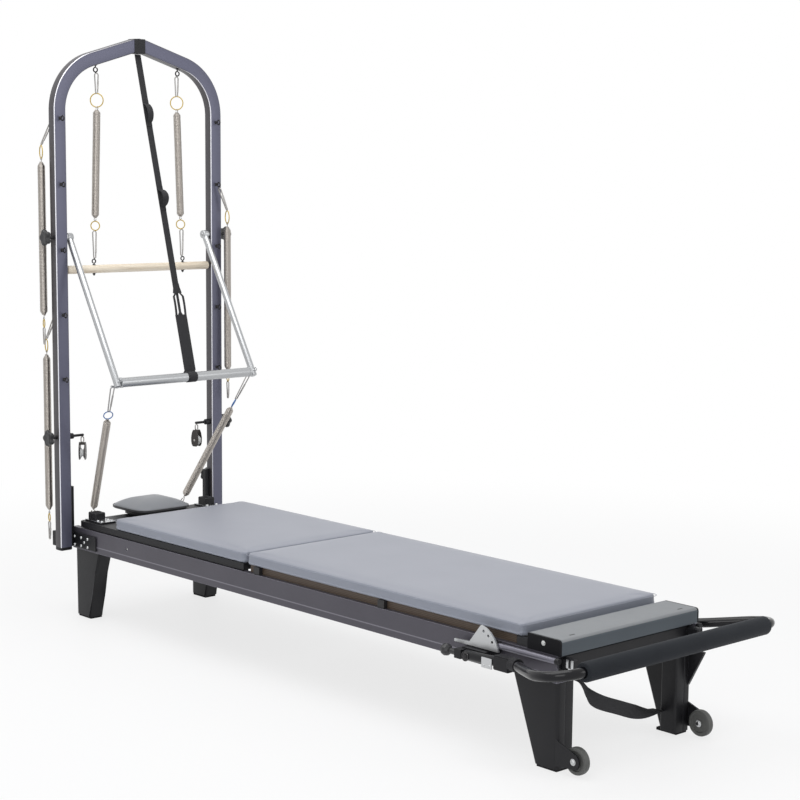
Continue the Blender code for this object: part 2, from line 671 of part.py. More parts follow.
# Spring bar on the wheel tracks, with the carriage springs hooked to it
parts = [solid(box, (SPRING_BAR_X - SPRING_BAR_SIZE / 2, -beam_half, beam_low),
               (SPRING_BAR_X + SPRING_BAR_SIZE / 2, beam_half, beam_low + SPRING_BAR_SIZE),
               0.003)]
for count in range(CARRIAGE_SPRING_COUNT):
    y = (count - (CARRIAGE_SPRING_COUNT - 1) / 2) * CARRIAGE_SPRING_PITCH
    start = (SPRING_BAR_X - SPRING_BAR_SIZE / 2 + JOIN, y, beam_low + SPRING_BAR_SIZE / 2)
    end = (start[0] - CARRIAGE_SPRING_LENGTH, y, start[2])
    parts.append(solid(spindle, start, end, CARRIAGE_SPRING_R, 0.006, 8))
joined("spring_bar", parts, NICKEL)

# Footbar brackets: a pivot block and, running on from it, the round bar beside the rail
arm_inner_y = FOOTBAR_ARM_Y - FOOTBAR_TUBE_R
plate_y = arm_inner_y - SEAT_GAP
rod_y = RAIL_OUTER_Y + 0.0015 + FOOTBAR_ROD_R
pivot = Vector((FOOTBAR_PIVOT_X, 0, FOOTBAR_PIVOT_Z))
for label, side in (("near", -1), ("far", 1)):
    rail_face = side * (RAIL_OUTER_Y + SEAT_GAP)
    parts = [solid(box, (pivot.x - 0.045, rail_face, pivot.z - 0.022),
                   (pivot.x + 0.050, side * plate_y, pivot.z + 0.016))]
    parts.append(solid(box, (pivot.x + 0.010, side * (rod_y - FOOTBAR_ROD_R - 0.0005),
                             pivot.z + 0.008), (pivot.x + 0.075,
                       side * (rod_y + FOOTBAR_ROD_R + 0.002), FOOTBAR_ROD_Z + 0.011)))
    parts.append(solid(rod, (pivot.x + 0.060, side * rod_y, FOOTBAR_ROD_Z),
                       (FOOTBAR_ROD_X[1], side * rod_y, FOOTBAR_ROD_Z), FOOTBAR_ROD_R, 12))
    if side < 0:
        parts.append(solid(box, (pivot.x + LUG_X[0], -(FOOTBAR_ARM_Y + 0.007), pivot.z - 0.016),
                           (pivot.x + LUG_X[1], -(plate_y - 0.004), pivot.z + 0.012)))
    joined(f"footbar_bracket_{label}", parts, ZINC)

# Quadrant plate on the near side, with the three holes that the lock pin picks from
quad_low = pivot.z + 0.0195
outline = [(pivot.x - 0.096, quad_low), (pivot.x + QUADRANT_R * 0.97, quad_low)]
for step in range(6):
    angle = math.radians(15 + 13 * step)
    outline.append((pivot.x + QUADRANT_R * math.cos(angle),
                    pivot.z + QUADRANT_R * math.sin(angle)))
outline += [(pivot.x + QUADRANT_R * 0.138, pivot.z + QUADRANT_R * 0.955)]
outline += [(pivot.x - 0.032, pivot.z + 0.031), (pivot.x - 0.096, pivot.z + 0.028)]
quad_inner = rod_y + FOOTBAR_ROD_R + 0.0026
quadrant = piece("quadrant_plate",
                 solid(plate, outline, "XZ", -quad_inner, -(quad_inner + FOOTBAR_PLATE)), ZINC)
holes = []
for step in range(3):
    angle = math.radians(36.5 + 16.75 * step)
    hole_x = pivot.x + (QUADRANT_R - 0.013) * math.cos(angle)
    hole_z = pivot.z + (QUADRANT_R - 0.013) * math.sin(angle)
    holes.append(solid(rod, (hole_x, -quad_inner + 0.02, hole_z),
                       (hole_x, -quad_inner - 0.03, hole_z), 0.0045, 8))
combine(quadrant, holes, "DIFFERENCE")


def footbar_path():
    """Centreline of the bent tube, from the near pivot round to the far one."""
    half = []
    rise = FOOTBAR_CROSS_Z - FOOTBAR_PIVOT_Z
    corner_x = FOOTBAR_CROSS_X - FOOTBAR_BEND_R
    plan = [(FOOTBAR_PIVOT_X - TUBE_END, FOOTBAR_ARM_Y), (FOOTBAR_PIVOT_X + 0.160, FOOTBAR_ARM_Y)]
    plan += [(FOOTBAR_PIVOT_X + 0.205, FOOTBAR_ARM_Y + 0.010)]
    plan += [(FOOTBAR_PIVOT_X + 0.330, FOOTBAR_FLARE_Y - 0.028)]
    plan += [(FOOTBAR_PIVOT_X + 0.368, FOOTBAR_FLARE_Y - 0.006)]
    for step in range(5):
        angle = math.radians(22.5 * step)
        plan.append((corner_x + FOOTBAR_BEND_R * math.sin(angle),
                     FOOTBAR_FLARE_Y - FOOTBAR_BEND_R * (1 - math.cos(angle))))
    for x, y in plan:
        share = max(0.0, (x - FOOTBAR_PIVOT_X) / FOOTBAR_REACH)
        half.append(Vector((x, -y, FOOTBAR_PIVOT_Z + rise * share ** FOOTBAR_CURVE)))
    return half + [Vector((point.x, -point.y, point.z)) for point in reversed(half)]


path = footbar_path()
piece("footbar_tube", solid(swept, path, FOOTBAR_TUBE_R, 10), BLACK_STEEL, pivot)
grip_length = 2 * (FOOTBAR_FLARE_Y - FOOTBAR_BEND_R - 0.001)
piece("footbar_grip", solid(bored_disc, (FOOTBAR_CROSS_X, 0, FOOTBAR_CROSS_Z), (0, 1, 0),
                            FOOTBAR_GRIP_R, FOOTBAR_TUBE_R + 0.0009, grip_length, 16),
      FOAM, pivot)

# Lock pin: a ball knob, its rod and the spring sleeve, pulled towards the head
lock_y = -(FOOTBAR_ARM_Y - 0.004)
lock_end = pivot.x + LUG_X[0] - SEAT_GAP
piece("lock_pin", solid(turned, (lock_end - 0.044, lock_y, FOOTBAR_PIVOT_Z - 0.002), (1, 0, 0),
                        [(-0.0185, 0.004), (-0.0150, 0.0115), (-0.0085, 0.0170), (0.0, 0.0190),
                         (0.0085, 0.0170), (0.0150, 0.0115), (0.0185, 0.005), (0.0205, 0.005),
                         (0.0210, 0.009), (0.044, 0.009)], 12),
      BLACK_PLASTIC)


def arch_path():
    """Centreline of the tower tube in (y, z), from one post foot to the other."""
    half = []
    run_y = TOWER_Y - ARCH_R
    end_angle = math.pi / 2 - ARCH_SLOPE
    arc_end_y = run_y + ARCH_R * math.cos(end_angle)
    arc_base_z = ARCH_APEX_Z - arc_end_y * math.tan(ARCH_SLOPE) - ARCH_R * math.sin(end_angle)
    half.append((TOWER_Y, TOWER_BOTTOM_Z))
    for step in range(9):
        angle = end_angle * step / 8
        half.append((run_y + ARCH_R * math.cos(angle), arc_base_z + ARCH_R * math.sin(angle)))
    ease_y = ARCH_APEX_R * math.sin(ARCH_SLOPE)
    half.append((ease_y, ARCH_APEX_Z - ease_y * math.tan(ARCH_SLOPE)))
    top = ARCH_APEX_Z - ease_y * math.tan(ARCH_SLOPE) / 2
    left = [(-y, z) for y, z in half]
    return left + [(0.0, top)] + list(reversed(half))


def tube_loop(shape, point, normal, half_depth, half_width, corner):
    """One rectangular section of the tower tube, square to its path."""
    y, z = point
    loop = []
    signs = ((1, 1), (-1, 1), (-1, -1), (1, -1))
    for index, (along, across) in enumerate(signs):
        inset = ((0, 1), (1, 0)) if index % 2 == 0 else ((1, 0), (0, 1))
        for cut_depth, cut_width in inset:
            depth = along * (half_depth - corner * cut_depth)
            width = across * (half_width - corner * cut_width)
            place = (TOWER_X + depth, y + normal[0] * width, z + normal[1] * width)
            loop.append(shape.verts.new(place))
    return loop


def tower_tube(shape):
    """The bent rectangular tube: outer and inner walls, joined at the two feet."""
    route = arch_path()
    outer_loops, inner_loops = [], []
    for index, point in enumerate(route):
        before = route[max(index - 1, 0)]
        after = route[min(index + 1, len(route) - 1)]
        first = Vector((point[0] - before[0], point[1] - before[1]))
        second = Vector((after[0] - point[0], after[1] - point[1]))
        if index == 0:
            first = second
        if index == len(route) - 1:
            second = first
        tangent = (first.normalized() + second.normalized()).normalized()
        normal = (-tangent.y, tangent.x)
        outer_loops.append(tube_loop(shape, point, normal, TUBE_DEPTH / 2, TUBE_WIDTH / 2,
                                     0.004))
        inner_loops.append(tube_loop(shape, point, normal, TUBE_DEPTH / 2 - TUBE_WALL,
                                     TUBE_WIDTH / 2 - TUBE_WALL, 0.002))
    for loops in (outer_loops, inner_loops):
        for first, second in zip(loops, loops[1:]):
            bridge(shape, first, second)
    bridge(shape, outer_loops[0], inner_loops[0])
    bridge(shape, outer_loops[-1], inner_loops[-1])


# Tower: the bent tube with its eyebolts, down both faces of the posts and under the arch
EYE_ROOT = 0.0012
under = ARCH_APEX_Z - ARCH_EYE_Y * math.tan(ARCH_SLOPE)
under -= TUBE_WIDTH / 2 / math.cos(ARCH_SLOPE)
arch_eye_z = under - EYE_REACH
parts = [solid(tower_tube)]
for side in BOTH_SIDES:
    for count in range(EYEBOLT_COUNT):
        z = EYEBOLT_TOP_Z - count * EYEBOLT_STEP
        for face_x, way in ((POST_FRONT_X, 1), (POST_BACK_X, -1)):
            parts.append(solid(eyebolt, (face_x - way * EYE_ROOT, side * TOWER_Y, z), (way, 0, 0),
                               EYE_REACH + EYE_ROOT))
    parts.append(solid(eyebolt, (TOWER_X, side * ARCH_EYE_Y, under + EYE_ROOT), (0, 0, -1),
                       EYE_REACH + EYE_ROOT, normal=(1, 0, 0)))
joined("tower_frame", parts, ANODISED)

# Roll-down bar: a dowel on two springs that hang from the arch eyebolts
hang_x = TOWER_X
hang_z = arch_eye_z - EYE_R - EYE_WIRE
hang_point = (hang_x, 0, arch_eye_z)
MELD = 0.0012
HOOK_LIFT = 0.0009
dowel_eye_top = DOWEL_Z + DOWEL_R + 0.024
for label, side in (("near", -1), ("far", 1)):
    coil_top = Vector((hang_x, side * ROLLDOWN_COIL_Y[0], ROLLDOWN_COIL_Z[0]))
    coil_foot = Vector((hang_x, side * ROLLDOWN_COIL_Y[1], ROLLDOWN_COIL_Z[1]))
    clip_top = hang_z + HOOK_LIFT
    clip_low = clip_top - CLIP_LENGTH
    parts = [solid(spindle, coil_top, coil_foot)]
    parts.append(solid(link, (hang_x, coil_top.y, (clip_top + clip_low) / 2), (0, 0, 1),
                       (1, 0, 0), CLIP_LENGTH, CLIP_WIDTH, CLIP_WIRE))
    ring_drop = clip_low - coil_top.z + 3 * MELD
    parts.append(solid(link, (hang_x, coil_top.y, coil_top.z - MELD + ring_drop / 2), (0, 0, 1),
                       (1, 0, 0), ring_drop, 2 * RING_R, RING_WIRE))
    joined(f"rolldown_spring_{label}", parts, NICKEL, hang_point)
    ring_top = coil_foot.z - 0.0008
    parts = [solid(link, (hang_x, coil_foot.y, ring_top - RING_R), (0, 0, 1), (1, 0, 0),
                   2 * RING_R, 2 * RING_R, RING_WIRE)]
    clip_top = ring_top - 2 * RING_R + 2 * MELD
    clip_low = dowel_eye_top - HOOK_LIFT
    parts.append(solid(link, (hang_x, side * (DOWEL_EYE_Y - 0.004), (clip_top + clip_low) / 2), (0, 0, 1),
                       (1, 0, 0), clip_top - clip_low, CLIP_WIDTH, CLIP_WIRE))
    joined(f"rolldown_link_{label}", parts, NICKEL, hang_point)
parts = [solid(turned, (hang_x, -DOWEL_HALF, DOWEL_Z), (0, 1, 0),
               [(0, DOWEL_R - 0.004), (0.004, DOWEL_R), (2 * DOWEL_HALF - 0.004, DOWEL_R),
                (2 * DOWEL_HALF, DOWEL_R - 0.004)], 14)]
for side in BOTH_SIDES:
    parts.append(solid(eyebolt, (hang_x, side * DOWEL_EYE_Y, DOWEL_Z + DOWEL_R - 0.004),
                       (0, 0, 1), 0.028 - 0.0101, 0.0075, normal=(1, 0, 0)))
    parts.append(solid(turned, (hang_x, side * DOWEL_EYE_Y, DOWEL_Z - DOWEL_R + 0.002),
                       (0, 0, -1), [(0, 0.006), (0.008, 0.006)], 6))
joined("rolldown_bar", parts, DOWEL_WOOD, hang_point)


def stored_spring(name, place, eye, hooks_below):
    """A spare spring hanging from one eyebolt: clip, ring, coil, ring and clip."""
    x, y, top, foot = place
    start = eye[2] - EYE_R - EYE_WIRE + HOOK_LIFT / 3
    clip_drop = (start - top) * 0.64
    parts = [solid(spindle, (x, y, top), (x, y, foot))]
    lean = Vector((eye[0] - x, eye[1] - y, 0))
    clip_high = Vector((x, y, start)) + lean
    clip_foot = Vector((x, y, start - clip_drop))
    parts.append(solid(link, (clip_high + clip_foot) / 2, clip_high - clip_foot, (0, 1, 0),
                       (clip_high - clip_foot).length, CLIP_WIDTH, CLIP_WIRE))
    ring_top = start - clip_drop + 2 * MELD
    ring_foot = top - MELD
    parts.append(solid(link, (x, y, (ring_top + ring_foot) / 2), (0, 0, 1), (0, 1, 0),
                       ring_top - ring_foot, 1.6 * RING_R, RING_WIRE))
    ring_high = foot + MELD
    ring_size = 1.7 * RING_R
    parts.append(solid(link, (x, y, ring_high - ring_size / 2), (0, 0, 1), (0, 1, 0), ring_size,
                       ring_size, RING_WIRE))
    clip_top = ring_high - ring_size + 2 * MELD
    parts.append(solid(link, (x, y, clip_top - hooks_below / 2), (0, 0, 1), (0, 1, 0),
                       hooks_below, CLIP_WIDTH * 0.9, CLIP_WIRE))
    joined(name, parts, NICKEL, eye)


back_eye_x = POST_BACK_X - EYE_REACH
front_eye_x = POST_FRONT_X + EYE_REACH
stored_spring("stored_spring_upper", STORED_UPPER, (back_eye_x, -TOWER_Y, EYEBOLT_TOP_Z), 0.066)
stored_spring("stored_spring_lower", STORED_LOWER,
              (back_eye_x, -TOWER_Y, EYEBOLT_TOP_Z - 3 * EYEBOLT_STEP), 0.050)
stored_spring("stored_spring_far", STORED_FAR,
              (front_eye_x, TOWER_Y, EYEBOLT_TOP_Z - EYEBOLT_STEP), 0.070)

# Push-through bar: two arms, each with its pivot hub, and a cross tube with end caps
ptb_pivot = Vector((TOWER_X, 0, PTB_PIVOT_Z))
cross = Vector((PTB_CROSS_X, 0, PTB_CROSS_Z))
arm_way = (cross - ptb_pivot).normalized()
stud = Vector((PTB_HOOK[0] + 0.004, 0, PTB_HOOK[2] + 0.002))
stud_way = (stud - cross).normalized()
cap_end = PTB_CROSS_HALF + PTB_CAP
parts = [solid(rod, cross - Vector((0, PTB_CROSS_HALF, 0)), cross + Vector((0, PTB_CROSS_HALF, 0)),
               PTB_CROSS_R, 14)]
for label, side in (("near", -1), ("far", 1)):
    across = Vector((0, side * PTB_Y, 0))
    hub_start = ptb_pivot + Vector((0, side * (PTB_Y - PTB_ARM_R), 0))
    hub_end = ptb_pivot + Vector((0, side * (POST_INNER_Y - SEAT_GAP), 0))
    arm_end = cross + across + arm_way * (PTB_CROSS_R - 0.001)
    arm = [solid(rod, hub_start, hub_end, 0.016, 12),
           solid(rod, ptb_pivot + across + arm_way * 0.006, arm_end, PTB_ARM_R - 0.0002, 10)]
    joined(f"ptb_arm_{label}", arm, SILVER, ptb_pivot)
    parts.append(solid(rod, cross + Vector((0, side * (PTB_CROSS_HALF - JOIN), 0)),
                       cross + Vector((0, side * cap_end, 0)), PTB_CROSS_R + 0.0015, 12))
    post_y = Vector((0, side * (PTB_CROSS_HALF - 0.0040), 0))
    parts.append(solid(rod, cross + post_y + stud_way * 0.013, stud + post_y + stud_way * 0.0035,
                       PTB_STUD_R + 0.0003, 8))
    parts.append(solid(rod, stud + Vector((0, side * (PTB_HOOK[1] + 0.0080), 0)),
                       stud + Vector((0, side * (PTB_CROSS_HALF - 0.0080), 0)), PTB_STUD_R, 8))
joined("ptb_crossbar", parts, SILVER, ptb_pivot)


def coil_points(eye, start, end):
    """Centreline of a wound spring: an eye, a straight lead, the turns, a straight lead."""
    axis = (end - start).normalized()
    side, up = frame_along(axis)
    length = (end - start).length
    lead = 4 * CURL_WIRE
    loop_r = (start - eye).length / 2 - CURL_WIRE
    middle = (start + eye) / 2
    points = []
    for step in range(9):
        angle = math.radians(20) + 2 * math.pi * step / 9.6
        points.append(middle + axis * (loop_r * math.cos(angle)) - up * (EYE_HALF * math.sin(angle)))
    points.append(start + axis * lead)
    total = CURL_COUNT * CURL_POINTS
    for step in range(total + 1):
        share = step / total
        angle = 2 * math.pi * step / CURL_POINTS
        ease = min(share, 1 - share) * CURL_COUNT
        radius = (COIL_R - CURL_WIRE) * min(1.0, 0.25 + 0.75 * ease / 1.5)
        along = 1.6 * lead + (length - 3.2 * lead) * share
        turn = side * math.cos(angle) + up * math.sin(angle)
        points.append(start + axis * along + turn * radius)
    points += [end - axis * lead, end]
    return points


def least_gap(points, radius):
    """Smallest surface gap between parts of a wire at least half a turn apart."""
    least = 1.0
    for index, point in enumerate(points):
        for other in points[index + CURL_POINTS // 2 + 1:index + 3 * CURL_POINTS]:
            least = min(least, (point - other).length - 2 * radius)
    return least


# The two tensioned springs, wound as one unbroken tube each, and the clips that hold them
for label, side in (("near", -1), ("far", 1)):
    anchor = Vector((ANCHOR_X, side * ANCHOR_Y, ANCHOR_Z))
    upper = Vector((PTB_HOOK[0], side * PTB_HOOK[1], PTB_HOOK[2]))
    way = (upper - anchor).normalized()
    coil_end = SPRING_SHARE * (upper - anchor).length
    points = coil_points(anchor, anchor + way * SPRING_START, anchor + way * coil_end)
    gap = least_gap(points, CURL_WIRE)
    print(f"least gap between turns of ptb_spring_{label}: {gap * 1000:.2f} mm")
    assert gap > WIRE_GAP_LIMIT
    piece(f"ptb_spring_{label}", solid(swept, points, CURL_WIRE, 5), NICKEL)
    ring_from = coil_end + 0.0008
    ring_to = ring_from + 2 * RING_R
    clip_to = (upper - anchor).length + 0.0016
    parts = [solid(link, anchor + way * (ring_from + ring_to) / 2, way, (0, 1, 0), 2 * RING_R,
                   2 * RING_R, RING_WIRE)]
    clip_from = ring_to - 2 * MELD
    parts.append(solid(link, anchor + way * (clip_from + clip_to) / 2, way, (0, 1, 0),
                       clip_to - clip_from, CLIP_WIDTH, CLIP_WIRE))
    joined(f"ptb_clip_{label}", parts, NICKEL)

# Clamp knobs: at the push-through bar's pivots, at the pulley arms and low on the posts
for label, side in (("near", -1), ("far", 1)):
    for kind, z in (("ptb", PTB_PIVOT_Z), ("riser", PULLEY_ARM_Z)):
        face = Vector((TOWER_X, side * (POST_OUTER_Y + SEAT_GAP), z))
        centre = Vector((TOWER_X, side * (POST_OUTER_Y + 0.034), z))
        parts = [solid(star_head, centre, (0, side, 0), KNOB_R, KNOB_THICK),
                 solid(rod, face, centre, KNOB_STEM_R, 8)]
        joined(f"{kind}_knob_{label}", parts, BLACK_PLASTIC, face)
    foot = Vector((POST_BACK_X - SEAT_GAP, side * BASE_KNOB_Y, BASE_KNOB_Z))
    centre = Vector((POST_BACK_X - 0.020, side * BASE_KNOB_Y, BASE_KNOB_Z))
    parts = [solid(star_head, centre, (-1, 0, 0), BASE_KNOB_R, 0.014),
             solid(rod, foot, centre, KNOB_STEM_R * 0.7, 8)]
    joined(f"base_knob_{label}", parts, BLACK_PLASTIC, foot)

# Pulleys hang from short arms on the posts' inner faces
PULLEY_ARM_R = 0.005
PULLEY_COLLAR = 0.026
PULLEY_LINK = 0.024
for label, side, turn in (("near", -1, 45.0), ("far", 1, 100.0)):
    arm_start = side * (POST_INNER_Y - SEAT_GAP)
    parts = [solid(rod, (TOWER_X, arm_start, PULLEY_ARM_Z),
                   (TOWER_X, arm_start - side * PULLEY_COLLAR, PULLEY_ARM_Z), 0.011, 10),
             solid(rod, (TOWER_X, arm_start - side * JOIN, PULLEY_ARM_Z),
                   (TOWER_X, side * (PULLEY_Y - 0.006), PULLEY_ARM_Z), PULLEY_ARM_R, 8)]
    joined(f"pulley_arm_{label}", parts, BLACK_STEEL)
    axle = Vector((math.cos(math.radians(turn)), math.sin(math.radians(turn)), 0))
    along = Vector((-axle.y, axle.x, 0))
    middle = Vector((TOWER_X, side * PULLEY_Y, 0))
    half = PULLEY_WIDTH / 2
    top = PULLEY_ARM_Z - PULLEY_ARM_R - SEAT_GAP
    roof = top - PULLEY_LINK + 0.0015
    floor = roof - PULLEY_HEIGHT
    outline = [(-half, floor), (-half + CHEEK, floor), (-half + CHEEK, roof - 0.010)]
    outline += [(half - CHEEK, roof - 0.010), (half - CHEEK, floor), (half, floor)]
    outline += [(half, roof), (-half, roof)]
    block = bmesh.new()
    loops = []
    for end in (-0.5, 0.5):
        spots = [middle + axle * across + along * (end * PULLEY_DEPTH) for across, z in outline]
        loops.append([block.verts.new((spot.x, spot.y, z))
                      for spot, (across, z) in zip(spots, outline)])
    bridge(block, loops[0], loops[1])
    block.faces.new(loops[0])
    block.faces.new(loops[1])
    centre = Vector((middle.x, middle.y, floor + SHEAVE_R + 0.006))
    parts = [block, solid(link, (middle.x, middle.y, top - PULLEY_LINK / 2), (0, 0, 1),
                          (0, 1, 0), PULLEY_LINK, 0.016, 0.0022)]
    parts.append(solid(rod, centre - axle * (half - 0.001), centre + axle * (half - 0.001),
                       SHEAVE_PIN_R, 8))
    joined(f"pulley_{label}", parts, BLACK_STEEL, (middle.x, middle.y, PULLEY_ARM_Z))
    sheave_width = 2 * (half - CHEEK) - 0.002
    piece(f"sheave_{label}",
          solid(bored_disc, centre, axle, SHEAVE_R, SHEAVE_BORE_R, sheave_width, 16),
          SILVER, centre)

# Webbing: the safety strap down to the push-through bar, and the carry strap
strap_top = Vector((TOWER_X + 0.004, 0, ARCH_APEX_Z - TUBE_WIDTH / 2 - 0.012))
strap_low = cross + Vector((-PTB_CROSS_R - 0.0012, 0.022, 0.004))
strap_path = [strap_top.lerp(strap_low, share) for share in (0.0, 0.35, 0.725, 0.755, 1.0)]
strap_halves = [Vector((0, SAFETY_STRAP_WIDTH / 2, 0))] * 3
strap_halves += [Vector((0, SAFETY_LOOP_WIDTH / 2, 0))] * 2
piece("safety_strap", solid(band, strap_path, strap_halves, WEBBING), WEB)
CARRY_X = RAIL_LENGTH - 0.045
carry_y = leg_inner_y - 0.0004
carry_drop = [(-1.0, 0.908), (-0.63, 0.846), (-0.45, 0.710), (-0.15, 0.545), (0.15, 0.435)]
carry_drop += [(0.50, 0.340), (0.80, 0.290), (1.0, 0.268)]
carry_drop = [(share, level * leg_top) for share, level in carry_drop]
carry_path = [Vector((CARRY_X, carry_y * share, z)) for share, z in carry_drop]
carry_halves = []
for share, z in carry_drop:
    lean = math.radians(90 - 35 * (1 - abs(share)))
    carry_halves.append(Vector((math.cos(lean), 0, math.sin(lean))) * (CARRY_STRAP_WIDTH / 2))
piece("carry_strap", solid(band, carry_path, carry_halves, WEBBING), WEB)

# Carriage: the board with its wheel hangers, guide rollers and shoulder-rest sockets
board_high = PAD_BOTTOM_Z - SEAT_GAP
outline = [(CARRIAGE_BOARD_HEAD_X, -0.288), (CARRIAGE_BOARD_HEAD_X + 0.01, -BOARD_HALF_WIDTH)]
outline += [(CARRIAGE_PAD_X[1] - 0.006, -BOARD_HALF_WIDTH)]
outline += [(x, -y) for x, y in reversed(outline)]
parts = [solid(plate, outline, "XY", CARRIAGE_BOARD_BOTTOM_Z, board_high)]
axle_holes = []
wheel_z = RAIL_BOTTOM_Z + RAIL_WALL + SEAT_GAP + LOAD_WHEEL_R
hanger_face = LOAD_WHEEL_Y - LOAD_WHEEL_WIDTH / 2 - 0.003
for wheel_x in LOAD_WHEEL_XS:
    for side in BOTH_SIDES:
        parts.append(solid(box, (wheel_x - HANGER_LENGTH / 2, side * hanger_face, wheel_z - 0.012),
                           (wheel_x + HANGER_LENGTH / 2, side * (hanger_face - HANGER_WIDTH),
                            CARRIAGE_BOARD_BOTTOM_Z + JOIN)))
    axle_holes.append(solid(rod, (wheel_x, -0.28, wheel_z), (wheel_x, 0.28, wheel_z),
                            AXLE_R + 0.0006, 12))
guide_y = RAIL_OUTER_Y - RAIL_TOP_FLANGE - 0.0006 - GUIDE_WHEEL_R
guide_low = RAIL_TOP_Z - 0.0005 - GUIDE_WHEEL_WIDTH
for guide_x in GUIDE_WHEEL_XS:
    for side in BOTH_SIDES:
        parts.append(solid(turned, (guide_x, side * guide_y, guide_low), (0, 0, 1),
                           [(0, GUIDE_WHEEL_R), (GUIDE_WHEEL_WIDTH, GUIDE_WHEEL_R),
                            (GUIDE_WHEEL_WIDTH + 0.0004, GUIDE_PIN_R),
                            (GUIDE_WHEEL_WIDTH + 0.006, GUIDE_PIN_R)], 12))
SOCKET_X = (0.060, 0.112)
SOCKET_Y = (0.233, 0.277)
for side in BOTH_SIDES:
    parts.append(solid(box, (SOCKET_X[0] - 0.008, side * (SOCKET_Y[0] - 0.012), board_high - JOIN),
                       (SOCKET_X[1] + 0.050, side * (SOCKET_Y[1] + 0.008), board_high + 0.006),
                       0.001))
    parts.append(solid(box, (SOCKET_X[0], side * SOCKET_Y[0], board_high + 0.003),
                       (SOCKET_X[1], side * SOCKET_Y[1], board_high + 0.034), 0.003))
frame = joined("carriage_frame", parts, BLACK_STEEL)
combine(frame, axle_holes, "DIFFERENCE")
for name, wheel_x in zip(("load_wheels_head", "load_wheels_foot"), LOAD_WHEEL_XS):
    end_y = LOAD_WHEEL_Y + LOAD_WHEEL_WIDTH / 2
    parts = [solid(rod, (wheel_x, -end_y, wheel_z), (wheel_x, end_y, wheel_z), AXLE_R, 10)]
    for side in BOTH_SIDES:
        face = side * (LOAD_WHEEL_Y - LOAD_WHEEL_WIDTH / 2)
        parts.append(solid(turned, (wheel_x, face, wheel_z), (0, side, 0),
                           [(0, LOAD_WHEEL_R), (LOAD_WHEEL_WIDTH, LOAD_WHEEL_R)], 18))
    joined(name, parts, RUBBER, (wheel_x, 0, wheel_z))

piece("carriage_pad", solid(cushion, CARRIAGE_PAD_X, PAD_HALF_WIDTH, (PAD_BOTTOM_Z, PAD_TOP_Z),
                            PAD_CORNER_R, 0.0025, 0.0018), VINYL)
headrest_pivot = (HEADREST_PIVOT_X, 0, PAD_BOTTOM_Z + 0.006)
board_outline = rounded_loop(HEADREST_X[0] + 0.045, HEADREST_PIVOT_X - 0.004,
                             HEADREST_HALF_WIDTH - 0.040, 0.030, 3)
piece("headrest_board", solid(plate, board_outline, "XY", PAD_BOTTOM_Z, HEADREST_BOARD_TOP_Z),
      BLACK_PLASTIC, headrest_pivot)
piece("headrest_cushion",
      solid(cushion, HEADREST_X, HEADREST_HALF_WIDTH,
            (HEADREST_BOARD_TOP_Z + SEAT_GAP, HEADREST_TOP_Z), 0.060, 0.026, 0.002),
      DARK_VINYL, headrest_pivot)

# Filler mat: a pad on a board that rests across the rails, with blocks at its sides
piece("mat_pad", solid(cushion, MAT_PAD_X, PAD_HALF_WIDTH, (PAD_BOTTOM_Z, PAD_TOP_Z),
                       PAD_CORNER_R, 0.0025, 0.0018), VINYL)
parts = [solid(box, (MAT_BOARD_X[0], -MAT_BOARD_HALF_WIDTH, RAIL_TOP_Z + SEAT_GAP),
               (MAT_BOARD_X[1], MAT_BOARD_HALF_WIDTH, PAD_BOTTOM_Z - SEAT_GAP))]
for side in BOTH_SIDES:
    for block_x in MAT_BLOCK_XS:
        parts.append(solid(box, (block_x, side * (MAT_BOARD_HALF_WIDTH - JOIN),
                                 RAIL_TOP_Z + 0.0008),
                           (block_x + MAT_BLOCK_LENGTH, side * (RAIL_OUTER_Y - 0.003),
                            PAD_BOTTOM_Z - 0.0008)))
joined("mat_board", parts, PLYWOOD)
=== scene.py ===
"""Looks of a pilates reformer with a tower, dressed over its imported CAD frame."""

import math

import bmesh
import bpy
from mathutils import Matrix, Vector


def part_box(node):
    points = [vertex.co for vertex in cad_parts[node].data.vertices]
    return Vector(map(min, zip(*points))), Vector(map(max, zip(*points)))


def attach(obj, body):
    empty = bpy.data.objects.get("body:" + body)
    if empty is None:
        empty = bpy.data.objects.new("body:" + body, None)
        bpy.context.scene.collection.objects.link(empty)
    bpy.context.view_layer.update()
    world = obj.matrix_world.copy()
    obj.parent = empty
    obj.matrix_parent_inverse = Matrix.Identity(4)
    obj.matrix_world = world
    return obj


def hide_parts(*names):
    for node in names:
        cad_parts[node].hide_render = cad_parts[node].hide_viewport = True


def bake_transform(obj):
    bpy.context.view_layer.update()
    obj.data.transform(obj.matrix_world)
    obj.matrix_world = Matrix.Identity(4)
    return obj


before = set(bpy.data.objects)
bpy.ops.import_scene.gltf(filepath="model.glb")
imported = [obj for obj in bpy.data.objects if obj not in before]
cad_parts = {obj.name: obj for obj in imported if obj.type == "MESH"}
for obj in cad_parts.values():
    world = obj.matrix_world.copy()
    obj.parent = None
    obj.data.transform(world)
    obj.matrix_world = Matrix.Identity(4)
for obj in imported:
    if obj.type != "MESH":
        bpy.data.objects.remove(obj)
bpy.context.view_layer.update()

# Camera and studio
# A long lens at eye height, turned along the bed from its foot end; a pale floor that
# runs out into white, one large soft lamp above and a weaker one at each side.
MID_X = 1.32361
YAW, PITCH, ROLL = 0.816635, 0.139035, 0.010814
ahead = Vector((-math.sin(YAW) * math.cos(PITCH), math.cos(YAW) * math.cos(PITCH),
                -math.sin(PITCH)))
level = Vector((math.cos(YAW), math.sin(YAW), 0.0))
over = level.cross(ahead)
right = math.cos(ROLL) * level + math.sin(ROLL) * over
up = -math.sin(ROLL) * level + math.cos(ROLL) * over
lens = bpy.data.cameras.new("camera")
lens.lens = 84.22
lens.sensor_width = 36.0
lens.shift_x = -0.0321
lens.shift_y = 0.0321
camera = bpy.data.objects.new("camera", lens)
